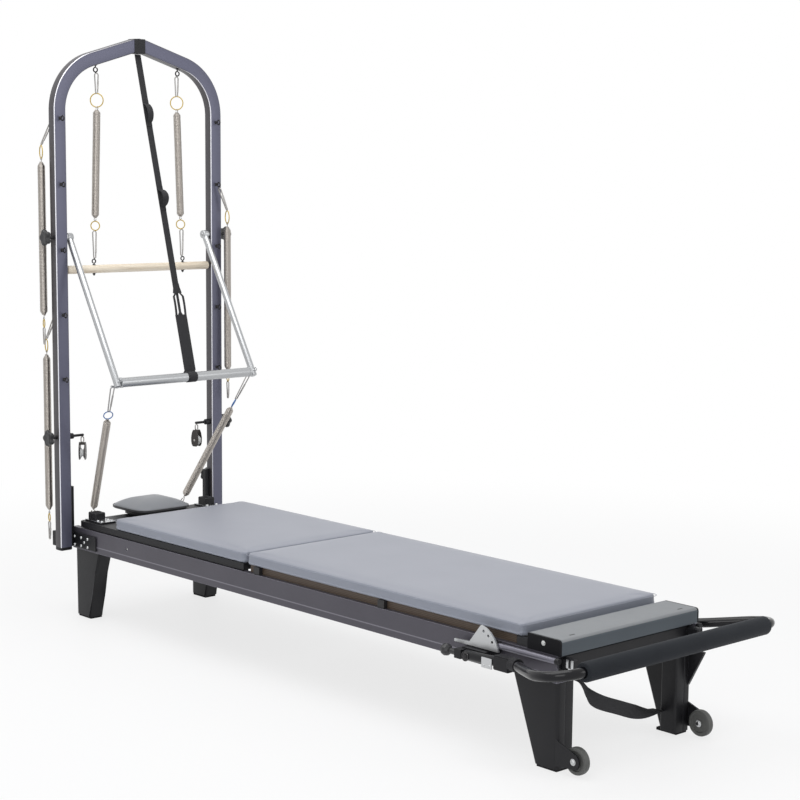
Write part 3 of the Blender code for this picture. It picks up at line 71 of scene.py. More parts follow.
turn = Matrix((right, up, -ahead)).transposed().to_4x4()
camera.matrix_world = Matrix.Translation((5.99325 - MID_X, -4.10757, 1.71946)) @ turn
bpy.context.scene.collection.objects.link(camera)
bpy.context.scene.camera = camera
bpy.context.scene.view_settings.view_transform = "Standard"


def lamp(name, place, target, size, power):
    """A square soft lamp that points at a target."""
    light = bpy.data.lights.new(name, "AREA")
    light.shape = "SQUARE"
    light.size = size
    light.energy = power
    lit = bpy.data.objects.new(name, light)
    lit.location = place
    lit.rotation_euler = (Vector(target) - Vector(place)).to_track_quat("-Z", "Y").to_euler()
    bpy.context.scene.collection.objects.link(lit)


lamp("lamp_top", (-0.4, -0.8, 4.6), (0.0, 0.0, 0.4), 4.0, 130)
lamp("lamp_front", (3.4, -4.6, 2.9), (0.2, 0.0, 0.6), 3.0, 70)
lamp("lamp_foot", (4.8, 2.6, 2.4), (0.6, 0.0, 0.4), 2.4, 35)


def wired(tree, kind, values=None, **settings):
    """Adds a node, of a shader kind unless named in full, with its sockets' values."""
    node = tree.nodes.new(kind if kind.startswith(("Node", "Geometry")) else "ShaderNode" + kind)
    for key, value in settings.items():
        setattr(node, key, value)
    for label, value in (values or {}).items():
        node.inputs[label].default_value = value
    return node


def join(tree, *links):
    """Links given as (node, output, node, input) or as two sockets."""
    for link in links:
        if len(link) == 4:
            link = link[0].outputs[link[1]], link[2].inputs[link[3]]
        tree.links.new(*link)


def blank(name):
    """A new material, with its tree and its shader."""
    made = bpy.data.materials.new(name)
    made.use_nodes = True
    return made, made.node_tree, made.node_tree.nodes["Principled BSDF"]


def filled(socket, value, colour):
    """Gives a socket its value, with a colour's alpha added."""
    socket.default_value = (*value, 1.0) if colour else value


world = bpy.data.worlds.new("studio")
world.use_nodes = True
bpy.context.scene.world = world
tree = world.node_tree
path = wired(tree, "LightPath")
seen = wired(tree, "Math", operation="MAXIMUM")
seen_too = wired(tree, "Math", operation="MAXIMUM")
level_mix = wired(tree, "MapRange", {"To Min": 0.42, "To Max": 1.0})
join(tree, (path, "Is Camera Ray", seen, 0), (path, "Is Glossy Ray", seen, 1),
     (seen, 0, seen_too, 0), (path, "Is Transmission Ray", seen_too, 1),
     (seen_too, 0, level_mix, "Value"),
     (level_mix.outputs["Result"], tree.nodes["Background"].inputs["Strength"]))
tree.nodes["Background"].inputs["Color"].default_value = (1.0, 1.0, 1.0, 1.0)

floor_mesh = bpy.data.meshes.new("floor")
floor_shape = bmesh.new()
bmesh.ops.create_grid(floor_shape, x_segments=2, y_segments=2, size=30.0)
floor_shape.to_mesh(floor_mesh)
floor_shape.free()
floor = bpy.data.objects.new("floor", floor_mesh)
bpy.context.scene.collection.objects.link(floor)
floor_finish, tree, shader = blank("studio_floor")
shader.inputs["Base Color"].default_value = (0.9, 0.905, 0.92, 1.0)
shader.inputs["Roughness"].default_value = 0.55
shader.inputs["Specular IOR Level"].default_value = 0.25
glow = wired(tree, "Emission")
blend = wired(tree, "MixShader")
place = wired(tree, "TexCoord")
reach = wired(tree, "VectorMath", operation="LENGTH")
fade = wired(tree, "MapRange", {"From Min": 1.6, "From Max": 4.2, "To Min": 0.75},
             interpolation_type="SMOOTHSTEP")
path = wired(tree, "LightPath")
shown = wired(tree, "Math", operation="MAXIMUM")
both_ways = wired(tree, "Math", operation="MULTIPLY")
join(tree, (place, "Object", reach, 0), (reach, "Value", fade, "Value"),
     (path, "Is Camera Ray", shown, 0), (path, "Is Glossy Ray", shown, 1),
     (fade, "Result", both_ways, 0), (shown, 0, both_ways, 1), (both_ways, 0, blend, "Fac"),
     (shader, 0, blend, 1), (glow, 0, blend, 2),
     (blend.outputs[0], tree.nodes["Material Output"].inputs["Surface"]))
floor_mesh.materials.append(floor_finish)


# Rails and end beams
# Two purple-grey anodised aluminium extrusions, 2.5 m long, with black steel beams
# between their ends. Fine draw lines run along the metal, a painted highlight line runs low on
# each rail where light would catch a lip, and the edges carry a painted highlight.
def effect(name, takes, gives):
    """An empty shader node group with named inputs and outputs."""
    group = bpy.data.node_groups.new(name, "ShaderNodeTree")
    for label, kind, value in takes:
        socket = group.interface.new_socket(label, in_out="INPUT", socket_type=kind)
        filled(socket, value, kind == TINT)
    for label, kind in gives:
        group.interface.new_socket(label, in_out="OUTPUT", socket_type=kind)
    return group, wired(group, "NodeGroupInput"), wired(group, "NodeGroupOutput")


NUMBER, TINT, ARROW = "NodeSocketFloat", "NodeSocketColor", "NodeSocketVector"

mottle, takes, gives = effect(
    "mottled_tone",
    [("Colour", TINT, (0.5, 0.5, 0.5)), ("Other Colour", TINT, (0.4, 0.4, 0.4)),
     ("Scale", NUMBER, 6.0), ("Roughness", NUMBER, 0.4), ("Spread", NUMBER, 0.06)],
    [("Colour", TINT), ("Roughness", NUMBER)])
place = wired(mottle, "TexCoord")
cloud = wired(mottle, "TexNoise", {"Detail": 5.0})
tone = wired(mottle, "Mix", data_type="RGBA")
shift = wired(mottle, "Math", operation="MULTIPLY_ADD")
centred = wired(mottle, "Math", {1: 0.5}, operation="SUBTRACT")
join(mottle, (place, "Object", cloud, "Vector"), (takes, "Scale", cloud, "Scale"),
     (cloud, "Fac", tone, "Factor"), (takes, "Colour", tone, "A"),
     (takes, "Other Colour", tone, "B"), (tone, "Result", gives, "Colour"),
     (cloud, "Fac", centred, 0), (centred, 0, shift, 0), (takes, "Spread", shift, 1),
     (takes, "Roughness", shift, 2), (shift, 0, gives, "Roughness"))

# Painted highlight: a bevel-normal mask lightens the colour along sharp edges, where light would
# glint.
edges, takes, gives = effect(
    "painted_edge_highlight",
    [("Colour", TINT, (0.5, 0.5, 0.5)), ("Edge Colour", TINT, (0.8, 0.8, 0.8)),
     ("Width", NUMBER, 0.002), ("Strength", NUMBER, 0.6)],
    [("Colour", TINT), ("Edge", NUMBER)])
soft = wired(edges, "Bevel", samples=4)
shape = wired(edges, "NewGeometry")
turned_by = wired(edges, "VectorMath", operation="DOT_PRODUCT")
mask = wired(edges, "MapRange", {"From Min": 0.995, "From Max": 0.9})
scaled = wired(edges, "Math", operation="MULTIPLY", use_clamp=True)
tone = wired(edges, "Mix", data_type="RGBA")
join(edges, (takes, "Width", soft, "Radius"), (soft, "Normal", turned_by, 0),
     (shape, "Normal", turned_by, 1), (turned_by, "Value", mask, "Value"),
     (mask, "Result", scaled, 0), (takes, "Strength", scaled, 1), (scaled, 0, tone, "Factor"),
     (takes, "Colour", tone, "A"), (takes, "Edge Colour", tone, "B"),
     (tone, "Result", gives, "Colour"), (scaled, 0, gives, "Edge"))

grain, takes, gives = effect(
    "fine_grain",
    [("Scale", NUMBER, 900.0), ("Along", ARROW, (1.0, 1.0, 1.0)), ("Depth", NUMBER, 0.0002),
     ("Strength", NUMBER, 0.3)],
    [("Normal", ARROW), ("Height", NUMBER)])
place = wired(grain, "TexCoord")
stretch = wired(grain, "VectorMath", operation="MULTIPLY")
specks = wired(grain, "TexNoise", {"Detail": 3.0})
relief = wired(grain, "Bump")
join(grain, (place, "Object", stretch, 0), (takes, "Along", stretch, 1),
     (stretch, "Vector", specks, "Vector"), (takes, "Scale", specks, "Scale"),
     (specks, "Fac", relief, "Height"), (takes, "Depth", relief, "Distance"),
     (takes, "Strength", relief, "Strength"), (relief, "Normal", gives, "Normal"),
     (specks, "Fac", gives, "Height"))


def placed(tree, group, **values):
    """Places an effect in a material, with its own values."""
    node = tree.nodes.new("ShaderNodeGroup")
    node.node_tree = group
    for label, value in values.items():
        socket = node.inputs[label.replace("_", " ")]
        filled(socket, value, socket.type == "RGBA")
    return node


def surface(name, colour, other, roughness, metallic=0.0, scale=6.0, spread=0.08,
            grain_scale=900.0, along=(1.0, 1.0, 1.0), depth=0.0002, strength=0.3, edge=None,
            edge_width=0.0015, edge_strength=0.5, specular=0.5):
    """A finish with cloudy tone, fine relief and, where asked, a painted highlight along its edges.
    """
    made, tree, shader = blank(name)
    shader.inputs["Metallic"].default_value = metallic
    shader.inputs["Specular IOR Level"].default_value = specular
    tone = placed(tree, mottle, Colour=colour, Other_Colour=other, Scale=scale,
                  Roughness=roughness, Spread=spread)
    fine = placed(tree, grain, Scale=grain_scale, Along=along, Depth=depth, Strength=strength)
    source = tone.outputs["Colour"]
    # Painted highlight along the edges, where asked.
    if edge:
        edge_highlighted = placed(tree, edges, Edge_Colour=edge, Width=edge_width, Strength=edge_strength)
        join(tree, (source, edge_highlighted.inputs["Colour"]))
        source = edge_highlighted.outputs["Colour"]
    join(tree, (source, shader.inputs["Base Color"]), (tone, "Roughness", shader, "Roughness"),
         (fine, "Normal", shader, "Normal"))
    return made


anodised = surface("anodised_aluminium", (0.085, 0.08, 0.098), (0.07, 0.066, 0.082), 0.4,
                   metallic=0.35, along=(0.02, 1.0, 1.0), grain_scale=1400.0, strength=0.22,
                   edge=(0.42, 0.41, 0.48), edge_width=0.0016, edge_strength=0.75)
black_coat = surface("black_powder_coat", (0.014, 0.014, 0.016), (0.01, 0.01, 0.012), 0.44,
                     grain_scale=1600.0, depth=0.0002, strength=0.35,
                     edge=(0.07, 0.07, 0.078), edge_width=0.0012, edge_strength=0.6,
                     specular=0.25)


def dress(node, finish):
    """A CAD node that stays gets its finished material."""
    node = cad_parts[node]
    node.data.materials.clear()
    node.data.materials.append(finish)


BOTH = ("near", "far")
rail_metal = anodised.copy()
rail_metal.name = "rail_anodised"
tree = rail_metal.node_tree
shader = tree.nodes["Principled BSDF"]
# Painted highlight: a thin lighter band at z 0.283 to 0.286 stands in for light on the rail's low
# lip.
place = wired(tree, "TexCoord")
parts = wired(tree, "SeparateXYZ")
lines = wired(tree, "ValToRGB")
lines.color_ramp.interpolation = "CONSTANT"
lines.color_ramp.elements[0].color = (0.0, 0.0, 0.0, 1.0)
lines.color_ramp.elements[1].position = 0.283
lines.color_ramp.elements[1].color = (1.0, 1.0, 1.0, 1.0)
lines.color_ramp.elements.new(0.2858).color = (0.0, 0.0, 0.0, 1.0)
painted_lip_highlight = wired(tree, "Mix", {"B": (0.19, 0.184, 0.215, 1.0)}, data_type="RGBA")
before = shader.inputs["Base Color"].links[0].from_socket
join(tree, (place, "Object", parts, 0), (parts, "Z", lines, "Fac"),
     (lines, "Color", painted_lip_highlight, "Factor"), (before, painted_lip_highlight.inputs["A"]),
     (painted_lip_highlight, "Result", shader, "Base Color"))
for name in ("rail_near", "rail_far"):
    dress(name, rail_metal)
for name in ("head_end_beam", "foot_end_beam"):
    dress(name, black_coat)


# Legs
# Four legs of folded steel, powder-coated black, each on a rubber glide. Their long edges
# are rounded; the head legs taper to a waist and the foot legs slant under the rails.
def piece(name, mesh, body, stands_for):
    """A mesh becomes one piece, on a body where one is named."""
    made = bpy.data.objects.new(name, mesh)
    bpy.context.scene.collection.objects.link(made)
    if body:
        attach(made, body)
    if stands_for:
        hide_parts(*stands_for)
    return made


def finished(name, shape, finish, body, stands_for=(), smooth=40.0):
    """A bmesh becomes one piece in its finish, smooth but for its sharp edges."""
    mesh = bpy.data.meshes.new(name)
    shape.to_mesh(mesh)
    shape.free()
    mesh.materials.append(finish)
    mesh.shade_smooth()
    mesh.set_sharp_from_angle(angle=math.radians(smooth))
    return piece(name, mesh, body, stands_for)


def axes_of(direction):
    """Two unit vectors square to a direction."""
    direction = Vector(direction).normalized()
    first = direction.cross(Vector((0, 0, 1)) if abs(direction.z) < 0.9 else Vector((1, 0, 0)))
    first.normalize()
    return first, direction.cross(first)


def round_spot(centre, first, second, radius, angle):
    """The point at an angle on a circle."""
    return (Vector(centre) + first * (radius * math.cos(angle))
            + second * (radius * math.sin(angle)))


def loop_of(shape, centre, first, second, radius, count):
    """A ring of vertices."""
    return [shape.verts.new(round_spot(centre, first, second, radius, 2 * math.pi * step / count))
            for step in range(count)]


def strip(shape, first, second):
    """Faces between two rings of vertices."""
    count = len(first)
    for step in range(count):
        after = (step + 1) % count
        shape.faces.new((first[step], first[after], second[after], second[step]))


def skin(shape, rings, closed=False):
    """Faces along a row of rings, which closes on itself or gets a cap at both ends."""
    for ring, after in zip(rings, rings[1:]):
        strip(shape, ring, after)
    if closed:
        strip(shape, rings[-1], rings[0])
    else:
        shape.faces.new(list(reversed(rings[0])))
        shape.faces.new(rings[-1])
    bmesh.ops.recalc_face_normals(shape, faces=shape.faces[:])


def lathe(shape, start, direction, profile, count=32, closed=False):
    """A turned form: (distance along, radius) pairs from a start point."""
    direction = Vector(direction).normalized()
    first, second = axes_of(direction)
    skin(shape, [loop_of(shape, Vector(start) + direction * along, first, second, radius, count)
                 for along, radius in profile], closed)


def tube(shape, points, radius, count=10, closed=False):
    """Round wire or tube along points, carried without twist."""
    points = [Vector(point) for point in points]
    total = len(points)
    rings, side = [], None
    for index, point in enumerate(points):
        before = points[index - 1] if index or closed else point
        after = points[(index + 1) % total] if index < total - 1 or closed else point
        tangent = (after - before).normalized()
        if side is None:
            side = axes_of(tangent)[0]
        side = (side - tangent * side.dot(tangent)).normalized()
        rings.append(loop_of(shape, point, side, tangent.cross(side), radius, count))
    skin(shape, rings, closed)


def head(x, y, z):
    """A point measured from the rails' head end, in the frame's own place."""
    return Vector((x - MID_X, y, z))


def cut_plate(shape, outline, inner, outer, fold=0.0):
    """A prism on an outline in XZ; with a fold radius its steep long edges are rounded."""
    part = bmesh.new()
    sides = [[part.verts.new(head(x, y, z)) for x, z in outline] for y in (inner, outer)]
    strip(part, sides[0], sides[1])
    caps = [part.faces.new(sides[0]), part.faces.new(sides[1])]
    if fold:
        folded = [edge for cap in caps for edge in cap.edges
                  if abs(edge.verts[0].co.z - edge.verts[1].co.z) > 0.02]
        bmesh.ops.bevel(part, geom=folded, offset=fold, segments=5, profile=0.5, affect="EDGES",
                        clamp_overlap=True)
    bmesh.ops.recalc_face_normals(part, faces=part.faces[:])
    kept = bpy.data.meshes.new("cut")
    part.to_mesh(kept)
    part.free()
    shape.from_mesh(kept)
    bpy.data.meshes.remove(kept)


LEG_OUTER, LEG_TOP = 0.298, 0.2642
AXLE_X, AXLE_Z = 2.56, 0.047
LEG_PLANS = {
    "head": (0.058, ((0.007, 0.008), (0.099, 0.008), (0.106, 0.105), (0.132, 0.18),
                     (0.17, LEG_TOP), (0.004, LEG_TOP))),
    "foot": (0.038, ((2.409, 0.008), (2.499, 0.008), (2.499, LEG_TOP), (2.316, LEG_TOP)))}
rubber = surface("rubber_glide", (0.012, 0.012, 0.013), (0.009, 0.009, 0.01), 0.75,
                 grain_scale=500.0, strength=0.3, specular=0.2)
for side, way in zip(BOTH, (-1, 1)):
    for kind, (wide, outline) in LEG_PLANS.items():
        shape = bmesh.new()
        cut_plate(shape, outline, way * (LEG_OUTER - wide), way * LEG_OUTER, 0.011)
        if kind == "foot":
            cut_plate(shape, ((2.438, 0.008), (2.4985, 0.008), (2.4985, LEG_TOP), (2.438, LEG_TOP)),
                      way * 0.229, way * (LEG_OUTER - wide + 0.012), 0.008)
            cut_plate(shape, ((2.485, 0.02), (2.572, 0.026), (2.58, 0.036), (2.582, 0.047),
                              (2.58, 0.058), (2.572, 0.068), (2.485, 0.1)),
                      way * (LEG_OUTER - 0.006), way * (LEG_OUTER - 0.0005))
            if side == "far":
                cut_plate(shape, ((2.485, 0.14), (2.5, 0.152), (2.558, 0.262), (2.558, LEG_TOP),
                                  (2.485, LEG_TOP)), 0.284, 0.2935)
            lathe(shape, head(AXLE_X, way * 0.2955, AXLE_Z), (0, -way, 0),
                  [(0, 0.0045), (0.036, 0.0045), (0.0365, 0.0036)], 20)
        finished(f"{kind}_leg_cover_{side}", shape, black_coat, "frame",
                 (f"{kind}_leg_{side}",), smooth=35.0)
        shape = bmesh.new()
        low, high = outline[0][0] + 0.006, outline[1][0] - 0.006
        cut_plate(shape, ((low, 0.0), (high, 0.0), (high, 0.0085), (low, 0.0085)),
                  way * 0.243, way * (LEG_OUTER - 0.006))
        finished(f"{kind}_glide_{side}", shape, rubber, "frame")


# Transport wheels
# Grey moulded wheels with a stepped hub, each turning on an axle in the fork behind its
# foot leg, clear of the floor until the machine is tipped.
wheel_grey = surface("wheel_grey", (0.098, 0.1, 0.096), (0.075, 0.077, 0.073), 0.55,
                     grain_scale=500.0, strength=0.3, edge=(0.22, 0.22, 0.22), edge_width=0.001)


def both_ends(profile, length):
    """A turned profile's first half, with its mirror image at the far end."""
    return list(profile) + [(length - along, radius) for along, radius in reversed(profile)]


for side, way in zip(BOTH, (-1, 1)):
    low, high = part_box(f"transport_wheel_{side}")
    middle = (Vector(low) + Vector(high)) / 2
    shape = bmesh.new()
    outer = (high[0] - low[0]) / 2
    profile = [(0.0014, 0.0046), (0.0014, 0.012), (0.0044, 0.0135), (0.0052, outer - 0.013),
               (0.001, outer - 0.011), (0.0, outer - 0.006), (0.0022, outer - 0.0012),
               (0.0062, outer)]
    lathe(shape, (middle.x, low[1], middle.z), (0, 1, 0), both_ends(profile, high[1] - low[1]), 40,
          closed=True)
    finished(f"wheel_{side}", shape, wheel_grey, f"transport_wheel_{side}",
             (f"transport_wheel_{side}",))


# Tower
# One rectangular aluminium tube, 40 by 50 mm, bent to a peaked arch, in the rails'
# own finish, with black eyebolts screwed through both posts and under the arch.
TOWER_X, TOWER_Y = 0.01, 0.353
ARCH_R, ARCH_SLOPE, ARCH_APEX_Z, ARCH_APEX_R = 0.2, math.radians(17.0), 2.152, 0.06
TOWER_LOW = 0.271
run_y = TOWER_Y - ARCH_R
end_angle = math.pi / 2 - ARCH_SLOPE
arc_end_y = run_y + ARCH_R * math.cos(end_angle)
arc_base = ARCH_APEX_Z - arc_end_y * math.tan(ARCH_SLOPE) - ARCH_R * math.sin(end_angle)
half = [(TOWER_Y, TOWER_LOW), (TOWER_Y, 1.0), (TOWER_Y, arc_base - 0.02)]
for step in range(25):
    angle = end_angle * step / 24
    half.append((run_y + ARCH_R * math.cos(angle), arc_base + ARCH_R * math.sin(angle)))
ease = ARCH_APEX_R * math.sin(ARCH_SLOPE)
half.append((ease * 1.6, ARCH_APEX_Z - 1.6 * ease * math.tan(ARCH_SLOPE)))
half.append((ease * 0.8, ARCH_APEX_Z - 0.98 * ease * math.tan(ARCH_SLOPE)))
route = [(-y, z) for y, z in half] + [(0.0, ARCH_APEX_Z - ease * math.tan(ARCH_SLOPE) * 0.66)]
route += list(reversed(half))


def rounded_section(depth, width, corner, steps=4):
    """Corner-rounded rectangle as (depth, width) pairs."""
    points = []
    for sx, sy, start in ((1, 1, 0), (-1, 1, 90), (-1, -1, 180), (1, -1, 270)):
        for step in range(steps + 1):
            angle = math.radians(start + 90 * step / steps)
            points.append((sx * (depth / 2 - corner) + corner * math.cos(angle),
                           sy * (width / 2 - corner) + corner * math.sin(angle)))
    return points


shape = bmesh.new()
walls = []
for depth, width, corner in ((0.04, 0.05, 0.0045), (0.035, 0.045, 0.0025)):
    rings = []
    for index, (y, z) in enumerate(route):
        before = Vector(route[max(index - 1, 0)])
        after = Vector(route[min(index + 1, len(route) - 1)])
        here = Vector((y, z))
        first = (here - before).normalized() if index else (after - here).normalized()
        second = (after - here).normalized() if index < len(route) - 1 else first
        tangent = (first + second).normalized()
        across = Vector((-tangent.y, tangent.x)) / max(tangent.dot(first), 0.5)
        rings.append([shape.verts.new(head(TOWER_X + d, y + across.x * w, z + across.y * w))
                      for d, w in rounded_section(depth, width, corner)])
    for ring, after in zip(rings, rings[1:]):
        strip(shape, ring, after)
    walls.append(rings)
strip(shape, walls[0][0], walls[1][0])
strip(shape, walls[0][-1], walls[1][-1])
bmesh.ops.recalc_face_normals(shape, faces=shape.faces[:])
post_metal = surface("tower_aluminium", (0.082, 0.077, 0.084), (0.07, 0.066, 0.073), 0.38,
                     metallic=0.4, along=(1.0, 1.0, 0.02), grain_scale=1400.0, strength=0.2)
# Painted light: faces turned to the foot end get a lighter blue-grey, and a painted highlight line
# runs down the corner between them and the faces turned to -Y.
tree = post_metal.node_tree
shader = tree.nodes["Principled BSDF"]
faced = wired(tree, "NewGeometry")
parts = wired(tree, "SeparateXYZ")
front = wired(tree, "MapRange", {"From Min": 0.85, "From Max": 0.98},
              interpolation_type="SMOOTHSTEP")
painted_front_light = wired(tree, "Mix", {"B": (0.118, 0.12, 0.172, 1.0)}, data_type="RGBA")
square = wired(tree, "Math", operation="MULTIPLY")
spare = wired(tree, "Math", {0: 1.0}, operation="SUBTRACT")
corner = wired(tree, "Math", operation="MULTIPLY")
near_side = wired(tree, "MapRange", {"From Min": -0.1, "From Max": -0.35})
forward = wired(tree, "Math", {1: 0.0}, operation="GREATER_THAN")
sided = wired(tree, "Math", operation="MULTIPLY")
line = wired(tree, "Math", operation="MULTIPLY")
bright = wired(tree, "MapRange", {"From Min": 0.06, "From Max": 0.2})
lit = wired(tree, "Mix", {"B": (0.92, 0.92, 0.98, 1.0)}, data_type="RGBA")
tone = shader.inputs["Base Color"].links[0].from_socket
join(tree, (faced, "Normal", parts, 0), (parts, "X", front, "Value"),
     (front, "Result", painted_front_light, "Factor"), (tone, painted_front_light.inputs["A"]), (parts, "X", square, 0),
     (parts, "X", square, 1), (square, 0, spare, 1), (square, 0, corner, 0), (spare, 0, corner, 1),
     (parts, "Y", near_side, "Value"), (parts, "X", forward, 0), (forward, 0, sided, 0),
     (near_side, "Result", sided, 1), (corner, 0, line, 0), (sided, 0, line, 1),
     (line, 0, bright, "Value"), (bright, "Result", lit, "Factor"), (painted_front_light, "Result", lit, "A"),
     (lit, "Result", shader, "Base Color"))
finished("tower_tube", shape, post_metal, "frame", ("tower_frame",))
shape = bmesh.new()
for way in (-1, 1):
    rings = [[shape.verts.new(head(TOWER_X + d, way * TOWER_Y + w, z))
              for d, w in rounded_section(0.0404 - slim, 0.0504 - slim, 0.005)]
             for z, slim in ((TOWER_LOW + 0.003, 0.0), (TOWER_LOW - 0.0055, 0.0),
                             (TOWER_LOW - 0.0082, 0.003), (TOWER_LOW - 0.009, 0.008))]
    skin(shape, rings)
finished("tower_end_caps", shape, black_coat, "frame")

EYE_R, EYE_WIRE, EYE_REACH = 0.0085, 0.0026, 0.018


def eyebolt(shape, root, direction, reach=EYE_REACH, radius=EYE_R, wire=EYE_WIRE, flat=(0, 1, 0),
            collar=0.0068):
    """A bent-wire eye on a threaded shank, with a round collar where it is screwed in."""
    direction = Vector(direction).normalized()
    across = Vector(flat).cross(direction).normalized()
    root = Vector(root)
    centre = root + direction * reach
    points = [root - direction * 0.001, root + direction * (reach - radius * 1.25),
              centre - direction * radius + across * radius * 0.15]
    points += [round_spot(centre, direction, across, radius, math.pi + 2 * math.pi * step / 21)
               for step in range(1, 20)]
    tube(shape, points, wire, 8)
    if collar:
        lathe(shape, root, direction, [(-0.0004, collar), (0.0016, collar), (0.0026, 0.0045),
                                       (0.0034, 0.0034)], 16)


EYE_TOP_Z, EYE_STEP = 1.87, 0.24
post_front, post_back = TOWER_X + 0.02, TOWER_X - 0.02
under_arch = ARCH_APEX_Z - 0.185 * math.tan(ARCH_SLOPE) - 0.025 / math.cos(ARCH_SLOPE)
arch_eye = under_arch - EYE_REACH
shape = bmesh.new()
for way in (-1, 1):
    for count in range(5):
        z = EYE_TOP_Z - EYE_STEP * count
        eyebolt(shape, head(post_front, way * TOWER_Y, z), (1, 0, 0))
        eyebolt(shape, head(post_back, way * TOWER_Y, z), (-1, 0, 0))
    eyebolt(shape, head(TOWER_X, way * 0.185, under_arch), (0, 0, -1), flat=(1, 0, 0))
black_zinc = surface("black_zinc", (0.04, 0.038, 0.04), (0.022, 0.021, 0.023), 0.32,
                     metallic=0.7, grain_scale=1200.0, strength=0.15, edge=(0.3, 0.29, 0.29),
                     edge_width=0.0006, edge_strength=0.5)
finished("tower_eyebolts", shape, black_zinc, "frame")


# Corner brackets
# Black plates that bolt each post to its rail with seven bright cap screws, over a tall
# spacer between post and rail.
bolt_steel = surface("bolt_steel", (0.62, 0.63, 0.64), (0.5, 0.51, 0.52), 0.28, metallic=1.0,
                     grain_scale=1500.0, strength=0.12, edge=(0.85, 0.85, 0.86),
                     edge_width=0.0005)


def cap_screw(shape, place, direction, radius=0.0052, tall=0.0042, socket=0.0026):
    """A button-head screw with a six-sided socket."""
    lathe(shape, place, direction, [(-0.0005, radius), (tall * 0.35, radius),
                                    (tall * 0.75, radius * 0.86), (tall, radius * 0.62),
                                    (tall, socket), (tall * 0.45, socket)], 24)


for side, way in zip(BOTH, (-1, 1)):
    dress(f"corner_bracket_{side}", black_coat)
    shape = bmesh.new()
    spots = [(0.0215 + 0.0435 * column, 0.2802 + 0.031 * row) for column in range(3)
             for row in range(2)]
    for x, z in spots + [(0.086, 0.2957)]:
        cap_screw(shape, head(x, way * 0.3118, z), (0, way, 0), 0.0058, 0.0048)
    finished(f"bracket_screws_{side}", shape, bolt_steel, "frame")
shape = bmesh.new()
for face in (-0.2962, 0.2662):
    cap_screw(shape, head(AXLE_X, face, AXLE_Z), (0, -1, 0), 0.0078, 0.0056, 0.0034)
    lathe(shape, head(AXLE_X, face, AXLE_Z), (0, -1, 0), [(-0.0004, 0.0105), (0.001, 0.0105),
                                                        (0.0014, 0.0098), (0.0014, 0.006)], 28)
finished("transport_wheel_bolts", shape, bolt_steel, "frame")


# Springs
# Bright nickel spring wire, close wound and drawn in at both ends, hooked into rings and
# snap hooks. One Geometry Nodes tree winds every spring from its length and its turns.
spring_wire = surface("spring_wire", (0.5, 0.465, 0.43), (0.43, 0.4, 0.368), 0.3, metallic=1.0,
                      scale=30.0, grain_scale=1800.0, strength=0.1)
hook_wire = surface("snap_hook_wire", (0.46, 0.445, 0.43), (0.36, 0.35, 0.34), 0.28, metallic=1.0,
                    scale=40.0, grain_scale=1500.0, strength=0.1)
yellow_coat = surface("yellow_vinyl_dip", (0.62, 0.43, 0.045), (0.55, 0.37, 0.035), 0.36,
                      scale=60.0, grain_scale=700.0, strength=0.12)
blue_coat = surface("blue_vinyl_dip", (0.045, 0.16, 0.42), (0.035, 0.13, 0.36), 0.36,
                    scale=60.0, grain_scale=700.0, strength=0.12)

winding = bpy.data.node_groups.new("spring_winding", "GeometryNodeTree")
winding.is_modifier = True
for label, value in (("Length", 0.4), ("Turns", 60.0), ("Radius", 0.01), ("Tip", 0.35),
                     ("Taper", 0.04), ("Wire", 0.0015)):
    socket = winding.interface.new_socket(label, in_out="INPUT", socket_type=NUMBER)
    socket.default_value = value
socket = winding.interface.new_socket("Steps", in_out="INPUT", socket_type="NodeSocketInt")
socket.default_value = 900
winding.interface.new_socket("Finish", in_out="INPUT", socket_type="NodeSocketMaterial")
winding.interface.new_socket("Geometry", in_out="OUTPUT", socket_type="NodeSocketGeometry")
takes, gives = wired(winding, "NodeGroupInput"), wired(winding, "NodeGroupOutput")


def sums(tree, operation, first, second, clamp=False):
    """A maths node fed by sockets or plain numbers."""
    node = wired(tree, "Math", operation=operation, use_clamp=clamp)
    for slot, source in zip(node.inputs, (first, second)):
        if isinstance(source, (int, float)):
            slot.default_value = source
        elif source is not None:
            tree.links.new(source, slot)
    return node.outputs[0]


line = wired(winding, "GeometryNodeCurvePrimitiveLine")
spread = wired(winding, "GeometryNodeResampleCurve")
where = wired(winding, "GeometryNodeSplineParameter")
share = where.outputs["Factor"]
turned = sums(winding, "MULTIPLY", share, takes.outputs["Turns"])
angle = sums(winding, "MULTIPLY", turned, 2 * math.pi)
nearest = sums(winding, "MINIMUM", share, sums(winding, "SUBTRACT", 1.0, share))
grown = sums(winding, "DIVIDE", nearest, takes.outputs["Taper"], clamp=True)
size = wired(winding, "MapRange", interpolation_type="SMOOTHSTEP")
join(winding, (grown, size.inputs["Value"]), (takes, "Tip", size, "To Min"))
radius = sums(winding, "MULTIPLY", takes.outputs["Radius"], size.outputs["Result"])
spot = wired(winding, "CombineXYZ")
join(winding,
     (sums(winding, "MULTIPLY", radius, sums(winding, "COSINE", angle, None)), spot.inputs["X"]),
     (sums(winding, "MULTIPLY", radius, sums(winding, "SINE", angle, None)), spot.inputs["Y"]),
     (sums(winding, "MULTIPLY", share, takes.outputs["Length"]), spot.inputs["Z"]))
wound = wired(winding, "GeometryNodeSetPosition")
ring = wired(winding, "GeometryNodeCurvePrimitiveCircle", {"Resolution": 6})
cover = wired(winding, "GeometryNodeCurveToMesh", {"Fill Caps": True})
smooth = wired(winding, "GeometryNodeSetShadeSmooth")
finish = wired(winding, "GeometryNodeSetMaterial")
join(winding, (line, 0, spread, "Curve"), (takes, "Steps", spread, "Count"),
     (spread, 0, wound, "Geometry"), (spot, 0, wound, "Position"), (wound, 0, cover, "Curve"),
     (takes, "Wire", ring, "Radius"), (ring, "Curve", cover, "Profile Curve"),
     (cover, 0, smooth, 0), (smooth, 0, finish, "Geometry"), (takes, "Finish", finish, "Material"),
     (finish, 0, gives, "Geometry"))


